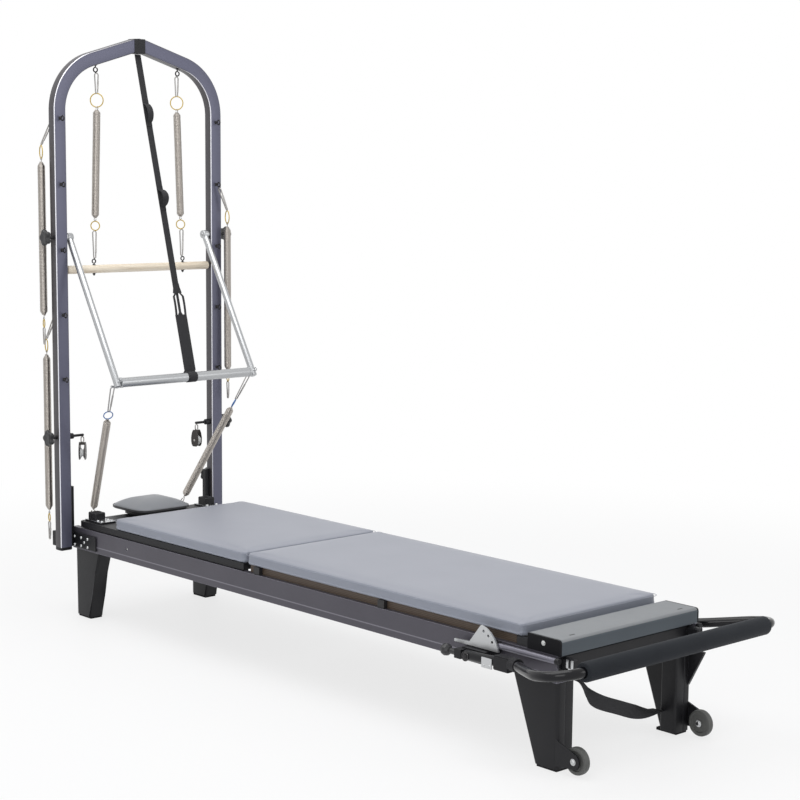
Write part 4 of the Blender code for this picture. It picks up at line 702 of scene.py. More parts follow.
def wound_mesh(start, end, pitch, radius, wire, tip=0.4, taper=0.03, per_turn=12):
    """The mesh of one wound spring between two points."""
    start, end = Vector(start), Vector(end)
    length = (end - start).length
    turns = length / pitch
    maker = bpy.data.objects.new("winder", bpy.data.meshes.new("winder"))
    bpy.context.scene.collection.objects.link(maker)
    step = maker.modifiers.new("winding", "NODES")
    step.node_group = winding
    values = {"Length": length, "Turns": turns, "Radius": radius, "Tip": tip, "Taper": taper,
              "Wire": wire, "Steps": int(turns * per_turn), "Finish": spring_wire}
    for item in winding.interface.items_tree:
        if item.in_out == "INPUT":
            step[item.identifier] = values[item.name]
    seen_by = bpy.context.evaluated_depsgraph_get()
    mesh = bpy.data.meshes.new_from_object(maker.evaluated_get(seen_by))
    bpy.data.objects.remove(maker)
    first, second = axes_of(end - start)
    way = (end - start).normalized()
    mesh.transform(Matrix.Translation(start) @ Matrix((first, second, way)).transposed().to_4x4())
    mesh.update()
    return mesh


def wound_spring(name, start, end, pitch, radius, wire, body, stands_for=(), **shape_values):
    """One wound spring as a piece, on a body where one is named."""
    mesh = wound_mesh(start, end, pitch, radius, wire, **shape_values)
    mesh.name = name
    return piece(name, mesh, body, stands_for)


def snap_hook(shape, top, bottom, flat, width=0.02, wire=0.0024):
    """A snap hook: a pear of wire with a straight gate, a sleeve and a hinge rivet."""
    top, bottom = Vector(top), Vector(bottom)
    down = (bottom - top).normalized()
    across = Vector(flat) - down * Vector(flat).dot(down)
    across.normalize()
    length = (bottom - top).length
    wide, narrow = width / 2 - wire, width * 0.34 - wire
    centre_top, centre_low = top + down * (wire + wide), bottom - down * (wire + narrow)
    points = [round_spot(centre_top, across, -down, wide, math.pi * step / 12)
              for step in range(13)]
    points += [round_spot(centre_low, across, -down, narrow, math.pi + math.pi * step / 10)
               for step in range(11)]
    tube(shape, points, wire, 8, closed=True)
    gate_low = centre_low + across * narrow
    gate_way = (centre_top + across * wide - gate_low)
    lathe(shape, gate_low + gate_way * 0.16, gate_way,
          [(0, wire * 1.05), (length * 0.004, wire * 1.35), (gate_way.length * 0.5, wire * 1.35),
           (gate_way.length * 0.52, wire * 1.05)], 12)
    flat_way = across.cross(down)
    lathe(shape, centre_low + across * narrow - flat_way * (wire * 1.25), flat_way,
          [(0, wire * 0.5), (wire * 0.2, wire * 0.75), (wire * 2.3, wire * 0.75),
           (wire * 2.5, wire * 0.5)], 10)


def wire_ring(shape, centre, normal, radius, wire, count=28):
    """A closed round ring of wire."""
    first, second = axes_of(normal)
    points = [round_spot(centre, first, second, radius, 2 * math.pi * step / count)
              for step in range(count)]
    tube(shape, points, wire, 8, closed=True)


def dipped_ring(name, centre, normal, radius, wire, finish, body):
    """A wire ring in a coloured dip that marks a spring's strength."""
    shape = bmesh.new()
    wire_ring(shape, centre, normal, radius, wire)
    return finished(name, shape, finish, body)


# Stored springs
# Three spare springs hang on the posts' eyebolts, each with a snap hook, a dipped ring
# at both ends and another hook below.
back_eye, front_eye = post_back - EYE_REACH, post_front + EYE_REACH
SPARES = (("upper", (-0.04, -0.392, 1.723, 1.135), (back_eye, -TOWER_Y, EYE_TOP_Z), 0.066),
          ("lower", (-0.055, -0.374, 1.01, 0.398), (back_eye, -TOWER_Y, EYE_TOP_Z - 3 * EYE_STEP),
           0.072),
          ("far", (0.058, 0.385, 1.478, 0.887), (front_eye, TOWER_Y, EYE_TOP_Z - EYE_STEP), 0.07))
RING_R, RING_WIRE, HOOK_WIDTH = 0.019, 0.002, 0.02
COIL_R, COIL_WIRE = 0.0145, 0.0017
for label, (x, y, top, foot), eye, below in SPARES:
    body = f"stored_spring_{label}"
    start = eye[2] - EYE_R - EYE_WIRE + 0.0003
    drop = (start - top) * 0.64
    eye_x, eye_y = eye[0], eye[1]
    wound_spring(f"spare_coil_{label}", head(x, y, top - 0.012), head(x, y, foot + 0.012), 0.0034,
                 COIL_R - COIL_WIRE, COIL_WIRE, body, (body,), per_turn=11)
    shape = bmesh.new()
    snap_hook(shape, head(eye_x, eye_y, start), head(x, y, start - drop), (1, 0, 0), HOOK_WIDTH)
    low_ring_top = foot - 0.002
    hook_top = low_ring_top - 1.7 * RING_R + 0.0024
    snap_hook(shape, head(x, y, hook_top), head(x, y, hook_top - below), (1, 0, 0),
              HOOK_WIDTH * 0.9)
    for level, way in ((top, 1), (foot, -1)):
        tube(shape, [head(x, y, level - way * 0.014), head(x + 0.001, y, level - way * 0.006),
                     head(x + 0.005, y, level), head(x + 0.0005, y, level + way * 0.0045),
                     head(x - 0.004, y, level), head(x - 0.002, y, level - way * 0.004)],
             COIL_WIRE, 8)
    finished(f"spare_hooks_{label}", shape, hook_wire, body)
    high_ring = (start - drop + top) / 2
    dipped_ring(f"spare_ring_high_{label}", head(x, y, high_ring), (0.35, 1, 0),
                (start - drop - top) / 2 - 0.001, RING_WIRE, yellow_coat, body)
    dipped_ring(f"spare_ring_low_{label}", head(x, y, low_ring_top - 0.85 * RING_R), (0.35, 1, 0),
                0.85 * RING_R - RING_WIRE, RING_WIRE, yellow_coat, body)


# Roll-down bar
# A maple dowel on two springs from the arch: turned ends, eyebolts through it with nuts
# below, snap hooks and yellow rings.
maple, tree, shader = blank("maple")
place = wired(tree, "TexCoord")
stretched = wired(tree, "VectorMath", {1: (60.0, 3.0, 60.0)}, operation="MULTIPLY")
figure = wired(tree, "TexNoise", {"Scale": 2.0, "Detail": 6.0})
tint = wired(tree, "ValToRGB")
tint.color_ramp.elements[0].position = 0.32
tint.color_ramp.elements[0].color = (0.76, 0.65, 0.5, 1.0)
tint.color_ramp.elements[1].position = 0.68
tint.color_ramp.elements[1].color = (0.9, 0.82, 0.69, 1.0)
relief = placed(tree, grain, Scale=700.0, Along=(1.0, 0.05, 1.0), Depth=0.0002, Strength=0.2)
shader.inputs["Roughness"].default_value = 0.42
join(tree, (place, "Object", stretched, 0), (stretched, 0, figure, "Vector"),
     (figure, "Fac", tint, "Fac"), (tint, "Color", shader, "Base Color"),
     (relief, "Normal", shader, "Normal"))

DOWEL_Z, DOWEL_R, DOWEL_HALF, DOWEL_EYE_Y = 1.315, 0.0155, 0.322, 0.203
COIL_Y, COIL_Z = (0.181, 0.195), (1.915, 1.496)
shape = bmesh.new()
lathe(shape, head(TOWER_X, -DOWEL_HALF, DOWEL_Z), (0, 1, 0),
      both_ends([(0, 0.011), (0.0008, 0.0135), (0.0025, 0.0149), (0.0055, DOWEL_R)],
                2 * DOWEL_HALF), 40)
finished("dowel", shape, maple, "rolldown_handle", ("rolldown_bar",))
shape = bmesh.new()
for way in (-1, 1):
    root = head(TOWER_X, way * DOWEL_EYE_Y, DOWEL_Z + DOWEL_R - 0.0006)
    eyebolt(shape, root, (0, 0, 1), 0.0145, 0.0075, 0.0024, (1, 0, 0))
    low = head(TOWER_X, way * DOWEL_EYE_Y, DOWEL_Z - DOWEL_R + 0.0006)
    lathe(shape, low, (0, 0, -1), [(0, 0.007), (0.0012, 0.007)], 20)
    lathe(shape, low - Vector((0, 0, 0.0012)), (0, 0, -1), [(0, 0.0054), (0.0052, 0.0054)], 6)
    lathe(shape, low - Vector((0, 0, 0.006)), (0, 0, -1), [(0, 0.0028), (0.0035, 0.0028)], 12)
finished("dowel_eyebolts", shape, black_zinc, "rolldown_handle")

hang_z = arch_eye - EYE_R - EYE_WIRE
for side, way in zip(BOTH, (-1, 1)):
    coil_top = head(TOWER_X, way * COIL_Y[0], COIL_Z[0])
    coil_low = head(TOWER_X, way * COIL_Y[1], COIL_Z[1])
    slope = (coil_low - coil_top).normalized()
    hanging = wound_spring(f"rolldown_coil_{side}", coil_top + slope * 0.01,
                           coil_low - slope * 0.01, 0.0033, COIL_R - COIL_WIRE, COIL_WIRE, None,
                           (f"rolldown_spring_{side}",), per_turn=11)
    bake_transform(hanging)
    shape = bmesh.new()
    clip_top = hang_z + 0.0009
    clip_low = clip_top - 0.078
    snap_hook(shape, head(TOWER_X, coil_top.y, clip_top), head(TOWER_X, coil_top.y, clip_low),
              (0, 1, 0))
    tube(shape, [coil_top + slope * 0.013, coil_top + Vector((0, 0.005, -0.004)),
                 coil_top + Vector((0, 0.002, 0.002)), coil_top + Vector((0, -0.004, -0.001)),
                 coil_top + Vector((0, -0.003, -0.006))], COIL_WIRE, 8)
    finished(f"rolldown_hook_{side}", shape, hook_wire, "rolldown_hanger")
    drop = clip_low - COIL_Z[0]
    dipped_ring(f"rolldown_ring_{side}", head(TOWER_X, coil_top.y, COIL_Z[0] + drop / 2 + 0.0008),
                (0.6, -0.8, 0), drop / 2 + 0.001, RING_WIRE, yellow_coat, "rolldown_hanger")
    shape = bmesh.new()
    ring_top = COIL_Z[1] - 0.0008
    clip_top = ring_top - 2 * RING_R + 0.0024
    clip_low = DOWEL_Z + DOWEL_R + 0.024 - 0.0009
    clip_y = way * (DOWEL_EYE_Y - 0.004)
    snap_hook(shape, head(TOWER_X, clip_y, clip_top), head(TOWER_X, clip_y, clip_low), (0, 1, 0))
    tube(shape, [coil_low - slope * 0.013, coil_low + Vector((0, -0.005, 0.004)),
                 coil_low + Vector((0, -0.001, -0.0012)), coil_low + Vector((0, 0.004, 0.001)),
                 coil_low + Vector((0, 0.003, 0.006))], COIL_WIRE, 8)
    finished(f"rolldown_low_hook_{side}", shape, hook_wire, "rolldown_handle",
             (f"rolldown_link_{side}",))
    dipped_ring(f"rolldown_low_ring_{side}", head(TOWER_X, coil_low.y, ring_top - RING_R),
                (0.6, -0.8, 0), RING_R - RING_WIRE, RING_WIRE, yellow_coat, "rolldown_handle")


# Push-through bar
# Bright anodised tube, two arms on clamp pivots and a cross tube with stepped end caps,
# pushed together over turned plugs with small set screws.
silver = surface("bright_aluminium", (0.47, 0.48, 0.49), (0.41, 0.42, 0.43), 0.3, metallic=0.85,
                 scale=4.0, along=(1.0, 0.05, 1.0), grain_scale=1500.0, strength=0.12,
                 edge=(0.88, 0.89, 0.9), edge_width=0.0008)
PTB_PIVOT_Z, PTB_Y, PTB_ARM_R = 1.436, 0.31, 0.0125
PTB_CROSS, PTB_CROSS_R, PTB_HALF = (0.313, 0.92), 0.0175, 0.2872
pivot_at = head(TOWER_X, 0, PTB_PIVOT_Z)
cross_at = head(PTB_CROSS[0], 0, PTB_CROSS[1])
arm_way = (cross_at - pivot_at).normalized()
for side, way in zip(BOTH, (-1, 1)):
    shape = bmesh.new()
    sideways = Vector((0, way * PTB_Y, 0))
    tube_length = (cross_at - pivot_at).length + PTB_CROSS_R - 0.001
    lathe(shape, pivot_at + sideways + arm_way * 0.01, arm_way,
          [(0.0, PTB_ARM_R - 0.0006), (0.001, PTB_ARM_R), (tube_length - 0.026, PTB_ARM_R),
           (tube_length - 0.0255, PTB_ARM_R - 0.0008), (tube_length - 0.0235, PTB_ARM_R - 0.0008),
           (tube_length - 0.023, PTB_ARM_R + 0.0004), (tube_length - 0.0108, PTB_ARM_R + 0.0004),
           (tube_length - 0.01, PTB_ARM_R - 0.001)], 32)
    inner = pivot_at + Vector((0, way * (PTB_Y - PTB_ARM_R), 0))
    hub = 0.328 - 0.0003 - (PTB_Y - PTB_ARM_R)
    lathe(shape, inner, (0, way, 0), [(0, 0.012), (0.0012, 0.015), (0.003, 0.016),
                                      (hub - 0.008, 0.016), (hub - 0.007, 0.0135),
                                      (hub - 0.001, 0.0135), (hub, 0.013)], 36)
    cap_screw(shape, inner, (0, -way, 0), 0.0065, 0.0036, 0.0032)
    finished(f"push_arm_{side}", shape, silver, "push_through_bar",
             (f"ptb_arm_{side}",))
shape = bmesh.new()
cap_length = 0.01
ends = PTB_HALF + cap_length
lathe(shape, cross_at - Vector((0, ends, 0)), (0, 1, 0),
      both_ends([(0, PTB_CROSS_R - 0.003), (0.0012, PTB_CROSS_R), (0.0024, PTB_CROSS_R + 0.0015),
                 (cap_length - 0.0006, PTB_CROSS_R + 0.0015), (cap_length, PTB_CROSS_R)],
                2 * ends), 40)
PTB_HOOK = (PTB_CROSS[0] - 0.026, 0.311, PTB_CROSS[1] - 0.0165)
stud = head(PTB_HOOK[0] + 0.004, 0, PTB_HOOK[2] + 0.002)
stud_way = (stud - cross_at).normalized()
for way in (-1, 1):
    aside = Vector((0, way * (PTB_HALF - 0.004), 0))
    lathe(shape, cross_at + aside + stud_way * 0.013, stud_way,
          [(0, 0.006), (0.003, 0.006), (0.004, 0.0034),
           ((stud - cross_at).length - 0.009, 0.0034)], 18)
    lathe(shape, stud + Vector((0, way * (PTB_HOOK[1] + 0.009), 0)), (0, -way, 0),
          [(0, 0.004), (0.0008, 0.0044), (0.0044, 0.0044), (0.0048, 0.003), (0.04, 0.003),
           (0.0406, 0.0024)], 18)
    for spot in (PTB_HALF - 0.01, PTB_HALF - 0.028):
        cap_screw(shape, cross_at + Vector((-PTB_CROSS_R * 0.94, way * spot, -PTB_CROSS_R * 0.3)),
                  (-0.95, 0, -0.3), 0.003, 0.001, 0.0016)
    forward = Vector((-arm_way.z, 0, arm_way.x))
    eye_root = cross_at + Vector((0, way * PTB_Y, 0)) + forward * (PTB_ARM_R - 0.0008)
    eyebolt(shape, eye_root, forward, 0.012, 0.0058, 0.0016, (0, 1, 0), 0.004)
finished("push_crossbar", shape, silver, "push_through_bar", ("ptb_crossbar",))


# Push-through springs
# Two tensioned springs from an arm behind the head beam to the cross tube's studs, drawn
# open a little by the pull, each with a blue ring and a snap hook.
ANCHOR, SPRING_SHARE = (-0.03, 0.2025, 0.352), 0.765
for side, way in zip(BOTH, (-1, 1)):
    anchor = head(ANCHOR[0], way * ANCHOR[1], ANCHOR[2])
    upper = head(PTB_HOOK[0], way * PTB_HOOK[1], PTB_HOOK[2])
    line_way = (upper - anchor).normalized()
    span = (upper - anchor).length
    coil_end = SPRING_SHARE * span
    low, high = anchor + line_way * 0.062, anchor + line_way * (coil_end - 0.004)
    coil = wound_spring(f"push_coil_{side}", low, high, 0.0044, 0.0126, 0.0019, None,
                        (f"ptb_spring_{side}",), tip=0.45, taper=0.03, per_turn=12)
    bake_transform(coil)
    first, second = axes_of(line_way)
    shape = bmesh.new()
    eye = [anchor + line_way * 0.064 + first * 0.003, anchor + line_way * 0.052]
    for step in range(9):
        angle = math.pi * (-0.9 + 1.75 * step / 8)
        eye.append(anchor + line_way * (0.028 + 0.024 * math.cos(angle) * -1)
                   + first * (0.0115 * math.sin(angle)))
    tube(shape, eye, 0.0018, 8)
    finished(f"push_coil_hook_{side}", shape, spring_wire, "ptb_springs")
    shape = bmesh.new()
    clip_from = coil_end + 0.0008 + 2 * RING_R - 0.0024
    snap_hook(shape, anchor + line_way * (span + 0.0016), anchor + line_way * clip_from,
              (0, 1, 0))
    tube(shape, [anchor + line_way * (coil_end - 0.01) + first * 0.002,
                 anchor + line_way * (coil_end - 0.002) + first * 0.006,
                 anchor + line_way * (coil_end + 0.004) + first * 0.002,
                 anchor + line_way * (coil_end + 0.002) - first * 0.004,
                 anchor + line_way * (coil_end - 0.004) - first * 0.003], 0.0018, 8)
    finished(f"push_hook_{side}", shape, hook_wire, "ptb_clips", (f"ptb_clip_{side}",))
    dipped_ring(f"push_ring_{side}", anchor + line_way * (coil_end + 0.0008 + RING_R),
                second if side == "near" else line_way.cross(ahead), RING_R - RING_WIRE, RING_WIRE,
                blue_coat, "ptb_clips")


# Clamp knobs
# Five-lobed star knobs moulded in black plastic on plated studs, at the pivots, the
# pulley arms and low behind each post.
knob_plastic = surface("knob_plastic", (0.02, 0.02, 0.022), (0.013, 0.013, 0.015), 0.36,
                       grain_scale=800.0, strength=0.25, edge=(0.07, 0.07, 0.075),
                       edge_width=0.001)


def star_knob(shape, face, direction, centre_off, radius, thick, stem):
    """A five-lobed knob on its collar and stud."""
    direction = Vector(direction).normalized()
    first, second = axes_of(direction)
    centre = Vector(face) + direction * centre_off
    levels = ((-0.5, 0.78), (-0.42, 0.92), (-0.25, 1.0), (0.15, 1.0), (0.36, 0.93), (0.47, 0.8),
              (0.5, 0.6), (0.4, 0.3))
    rings = []
    for share, size in levels:
        ring = []
        for step in range(60):
            angle = 2 * math.pi * step / 60
            lobe = 0.885 + 0.115 * math.cos(5 * angle)
            ring.append(shape.verts.new(round_spot(centre + direction * (share * thick), first,
                                                   second, radius * size * lobe, angle)))
        rings.append(ring)
    skin(shape, rings)
    length = centre_off - thick / 2
    lathe(shape, face, direction, [(0.0004, stem * 1.5), (0.0025, stem * 1.5), (0.003, stem),
                                   (length * 0.7, stem), (length, stem * 1.35),
                                   (length + 0.002, stem * 1.35)], 24)


ARM_Z = 0.692
for side, way in zip(BOTH, (-1, 1)):
    for kind, z in (("ptb", PTB_PIVOT_Z), ("riser", ARM_Z)):
        shape = bmesh.new()
        star_knob(shape, head(TOWER_X, way * 0.3783, z), (0, way, 0), 0.0337, 0.031, 0.02, 0.0055)
        finished(f"{kind}_star_{side}", shape, knob_plastic, f"{kind}_knob_{side}",
                 (f"{kind}_knob_{side}",))
    shape = bmesh.new()
    star_knob(shape, head(post_back - 0.0003, way * 0.338, 0.474), (-1, 0, 0), 0.0197, 0.027,
              0.014, 0.005)
    finished(f"base_star_{side}", shape, knob_plastic, f"base_knob_{side}",
             (f"base_knob_{side}",))


# Pulleys
# Short black arms with a collar hold swivelling blocks: two pressed cheeks, a pin with
# riveted ends and a white grooved sheave.
cheek_coat = surface("pulley_cheek", (0.04, 0.034, 0.031), (0.026, 0.022, 0.021), 0.38,
                     metallic=0.3, grain_scale=1000.0, strength=0.2, edge=(0.16, 0.15, 0.14),
                     edge_width=0.0008)
sheave_white = surface("sheave_nylon", (0.66, 0.67, 0.67), (0.58, 0.59, 0.59), 0.42,
                       scale=30.0, grain_scale=600.0, strength=0.15)
PULLEY_Y, CHEEK = 0.265, 0.004
BLOCK_HEIGHT, BLOCK_WIDTH, BLOCK_DEPTH, LINK = 0.066, 0.024, 0.036, 0.024
for side, way, turned_to in (("near", -1, 45.0), ("far", 1, 100.0)):
    shape = bmesh.new()
    start = head(TOWER_X, way * (TOWER_Y - 0.0253), ARM_Z)
    lathe(shape, start, (0, -way, 0), [(0, 0.01), (0.001, 0.011), (0.02, 0.011),
                                       (0.0215, 0.0095), (0.0218, 0.005),
                                       (0.0255, 0.005), (0.066, 0.005), (0.0675, 0.0038)], 28)
    cap_screw(shape, start + Vector((0, -way * 0.011, 0.0104)), (0, 0, 1), 0.003, 0.0012, 0.0016)
    finished(f"swivel_arm_{side}", shape, black_coat, "frame",
             (f"pulley_arm_{side}",))
    turning = math.radians(turned_to)
    axle = Vector((math.cos(turning), math.sin(turning), 0))
    along = Vector((-axle.y, axle.x, 0))
    middle = head(TOWER_X, way * PULLEY_Y, 0)
    top = ARM_Z - 0.005 - 0.0003
    roof = top - LINK + 0.0015
    floor_z = roof - BLOCK_HEIGHT
    half = BLOCK_WIDTH / 2
    shape = bmesh.new()
    for flank in (-1, 1):
        rows = []
        for across in (flank * half, flank * (half - 0.0028)):
            outline = [(z, size * BLOCK_DEPTH / 2) for z, size in (
                (roof, 0.42), (roof - 0.012, 0.78), (roof - 0.03, 1.0), (floor_z + 0.02, 1.0),
                (floor_z + 0.008, 0.86), (floor_z, 0.5))]
            outline += [(z, -reach) for z, reach in reversed(outline)]
            rows.append([shape.verts.new(middle + axle * across + along * reach
                                         + Vector((0, 0, z))) for z, reach in outline])
        skin(shape, rows)
    low, high = -half + 0.0004, half - 0.0004
    bridge = [(low, roof - 0.0095), (high, roof - 0.0095), (high, roof - 0.0004),
              (low, roof - 0.0004)]
    skin(shape, [[shape.verts.new(middle + axle * across + along * reach + Vector((0, 0, z)))
                  for across, z in bridge] for reach in (-0.008, 0.008)])
    finished(f"pulley_block_{side}", shape, cheek_coat, f"pulley_{side}",
             (f"pulley_{side}",))
    shape = bmesh.new()
    centre = Vector((middle.x, middle.y, floor_z + 0.019 + 0.006))
    lathe(shape, centre - axle * (half + 0.0012), axle,
          both_ends([(0, 0.003), (0.0006, 0.0044), (0.0012, 0.0044), (0.0014, 0.0028)],
                    2 * half + 0.0024), 20)
    link = []
    for drop, tall, turned_by in ((0.0075, 0.006, 0), (0.0175, 0.005, math.pi)):
        for step in range(9):
            angle = turned_by + math.pi * step / 8
            link.append(Vector((middle.x, middle.y + 0.006 * math.cos(angle),
                                top - drop + tall * math.sin(angle))))
    tube(shape, link, 0.0022, 8, closed=True)
    finished(f"pulley_swivel_{side}", shape, hook_wire, f"pulley_{side}")
    shape = bmesh.new()
    wide = 2 * (half - CHEEK) - 0.002
    lathe(shape, centre - axle * (wide / 2), axle,
          [(0, 0.0036), (0, 0.015), (0.0004, 0.0186), (0.0016, 0.019), (0.004, 0.014),
           (wide / 2, 0.0128), (wide - 0.004, 0.014), (wide - 0.0016, 0.019),
           (wide - 0.0004, 0.0186), (wide, 0.015), (wide, 0.0036)], 40, closed=True)
    finished(f"sheave_wheel_{side}", shape, sheave_white, f"sheave_{side}",
             (f"sheave_{side}",))


# Carriage
# A black board on load wheels with steel hangers and guide rollers; two sockets for
# shoulder rests stand at its head end, each on a screwed foot plate.
tyre = surface("wheel_tyre", (0.075, 0.075, 0.078), (0.055, 0.055, 0.058), 0.5,
               grain_scale=600.0, strength=0.25)
WHEEL_R, WHEEL_Y, WHEEL_Z, WHEEL_WIDE = 0.029, 0.254, 0.2998, 0.018
dress("carriage_frame", black_coat)
FOOT_PLATE_X, FOOT_PLATE_Y, FOOT_PLATE_TOP = (0.052, 0.162), (0.221, 0.285), 0.3777
shape = bmesh.new()
for way in (-1, 1):
    skin(shape, [[shape.verts.new(head(FOOT_PLATE_X[end], way * FOOT_PLATE_Y[edge], z))
                  for end, edge in ((0, 0), (1, 0), (1, 1), (0, 1))]
                 for z in (FOOT_PLATE_TOP - 0.0005, FOOT_PLATE_TOP + 0.0008)])
    for x in (0.124, 0.15):
        for y in (0.231, 0.275):
            cap_screw(shape, head(x, way * y, FOOT_PLATE_TOP + 0.0008), (0, 0, 1), 0.0055, 0.0042,
                      0.0024)
finished("socket_plates", shape, bolt_steel, "carriage")
shape = bmesh.new()
for way in (-1, 1):
    lathe(shape, head(0.086, way * 0.255, 0.405), (0, 0, 1),
          [(0, 0.017), (0.0022, 0.0165), (0.0028, 0.015), (0.0022, 0.0112), (0.0014, 0.01)], 28)
finished("socket_collars", shape, black_coat, "carriage")
for name, x in (("load_wheels_head", 0.16), ("load_wheels_foot", 0.95)):
    shape = bmesh.new()
    outer = WHEEL_Y + WHEEL_WIDE / 2
    lathe(shape, head(x, -outer, WHEEL_Z), (0, 1, 0),
          [(0, 0.004), (0, 0.0036), (2 * outer, 0.0036), (2 * outer, 0.004)], 16)
    for way in (-1, 1):
        near_face = way * WHEEL_Y - WHEEL_WIDE / 2
        lathe(shape, head(x, near_face, WHEEL_Z), (0, 1, 0),
              both_ends([(0.0005, 0.0038), (0.0, 0.01), (0.002, 0.0115), (0.002, 0.0235),
                         (0.0, 0.025), (0.0012, 0.0282), (0.003, WHEEL_R)], WHEEL_WIDE),
              36, closed=True)
    finished(f"{name}_turned", shape, tyre, name, (name,))


# Mat board
# Brown-stained plywood with sawn edges that show its plies, and small black blocks
# at the sides that sit on the rails.
stained, tree, shader = blank("stained_plywood")
place = wired(tree, "TexCoord")
plies = wired(tree, "TexWave", {"Scale": 60.0, "Distortion": 0.6},
              wave_type="BANDS", bands_direction="Z")
tint = wired(tree, "ValToRGB")
tint.color_ramp.elements[0].color = (0.05, 0.034, 0.024, 1.0)
tint.color_ramp.elements[1].color = (0.12, 0.086, 0.06, 1.0)
relief = placed(tree, grain, Scale=300.0, Along=(0.1, 1.0, 1.0), Depth=0.0003, Strength=0.3)
shader.inputs["Roughness"].default_value = 0.55
parts = wired(tree, "SeparateXYZ")
away = wired(tree, "Math", operation="ABSOLUTE")
outside = wired(tree, "Math", {1: 0.288}, operation="GREATER_THAN")
blocks = wired(tree, "Mix", {"B": (0.016, 0.015, 0.016, 1.0)}, data_type="RGBA")
join(tree, (place, "Object", plies, "Vector"), (plies, "Fac", tint, "Fac"),
     (place, "Object", parts, 0), (parts, "Y", away, 0), (away, 0, outside, 0),
     (outside, 0, blocks, "Factor"), (tint, "Color", blocks, "A"),
     (blocks, "Result", shader, "Base Color"), (relief, "Normal", shader, "Normal"))
dress("mat_board", stained)


# Pads
# Foam pads in grey coated vinyl, pulled tight over a board: flat tops with a soft crown,
# a sewn seam along the upper edge and light tension waves at the sides.
leather, takes, gives = effect(
    "coated_fabric",
    [("Scale", NUMBER, 420.0), ("Depth", NUMBER, 0.0003), ("Strength", NUMBER, 0.35)],
    [("Normal", ARROW), ("Cells", NUMBER)])
place = wired(leather, "TexCoord")
cells = wired(leather, "TexVoronoi", feature="SMOOTH_F1")
relief = wired(leather, "Bump")
join(leather, (place, "Object", cells, "Vector"), (takes, "Scale", cells, "Scale"),
     (cells, "Distance", relief, "Height"), (takes, "Depth", relief, "Distance"),
     (takes, "Strength", relief, "Strength"), (relief, "Normal", gives, "Normal"),
     (cells, "Distance", gives, "Cells"))


def vinyl(name, colour, other, roughness, painted_flank_shade, sheen=0.15):
    """Coated fabric with painted shade: a darker, cooler tone on its flanks."""
    made, tree, shader = blank(name)
    tone = placed(tree, mottle, Colour=colour, Other_Colour=other, Scale=5.0,
                  Roughness=roughness, Spread=0.08)
    hide = placed(tree, leather)
    faced = wired(tree, "NewGeometry")
    parts = wired(tree, "SeparateXYZ")
    steep = wired(tree, "MapRange", {"From Min": 0.85, "From Max": 0.35},
                  interpolation_type="SMOOTHSTEP")
    flank_shaded = wired(tree, "Mix", {"B": (*painted_flank_shade, 1.0)}, data_type="RGBA")
    join(tree, (faced, "Normal", parts, 0), (parts, "Z", steep, "Value"),
         (steep, "Result", flank_shaded, "Factor"), (tone, "Colour", flank_shaded, "A"),
         (flank_shaded, "Result", shader, "Base Color"), (tone, "Roughness", shader, "Roughness"),
         (hide, "Normal", shader, "Normal"))
    shader.inputs["Sheen Weight"].default_value = sheen
    return made


# Painted shade: the grey pads' flanks are painted darker than their tops, and the headrest's flanks
# near black.
pad_vinyl = vinyl("grey_vinyl", (0.304, 0.318, 0.372), (0.283, 0.297, 0.347), 0.46,
                  (0.26, 0.28, 0.335))
head_vinyl = vinyl("dark_vinyl", (0.235, 0.246, 0.268), (0.212, 0.222, 0.242), 0.42,
                   (0.016, 0.016, 0.018))


def pad_outline(x0, x1, half, corner):
    """Corner-rounded outline in plan, as (x, y) pairs."""
    return [((x0 + x1) / 2 + along, y) for along, y in
            rounded_section(x1 - x0, 2 * half, corner, 8)]


def pad_shape(x0, x1, half, z0, z1, corner, edge_r, crown, foot_in):
    """A pad as a closed bmesh: rounded plan, rolled upper edge and a soft crown."""
    shape = bmesh.new()
    levels = [(foot_in, z0), (foot_in * 0.25, z0 + 0.003), (0.0, (z0 + z1 - edge_r) / 2)]
    for step in range(7):
        angle = math.pi / 2 * step / 6
        levels.append((edge_r * (1 - math.cos(angle)), z1 - crown - edge_r * (1 - math.sin(angle))))
    levels += [(edge_r + 0.02, z1 - crown * 0.55), (edge_r + 0.06, z1 - crown * 0.15),
               (edge_r + 0.11, z1)]
    rings = []
    for inset, z in levels:
        size = max(corner - inset * 0.8, 0.008)
        rings.append([shape.verts.new(head(x, y, z)) for x, y in
                      pad_outline(x0 + inset, x1 - inset, half - inset, size)])
    skin(shape, rings)
    return shape


def seam(shape, x0, x1, half, z, corner, inset, wire):
    """A thin sewn line that follows a pad's edge."""
    points = [head(x, y, z) for x, y in pad_outline(x0 + inset, x1 - inset, half - inset, corner)]
    tube(shape, points, wire, 6, closed=True)


PAD_HALF, PAD_LOW, PAD_TOP, PAD_CORNER = 0.3025, 0.372, 0.414, 0.022
SWELL, HELD_BAND = 0.0035, 0.009
VOXEL, PRESSURE, LAST_FRAME = 0.006, 4.0, 20
PADS = (("carriage_pad", 0.262, 1.052, "carriage"), ("mat_pad", 1.0545, 2.362, "mat"))


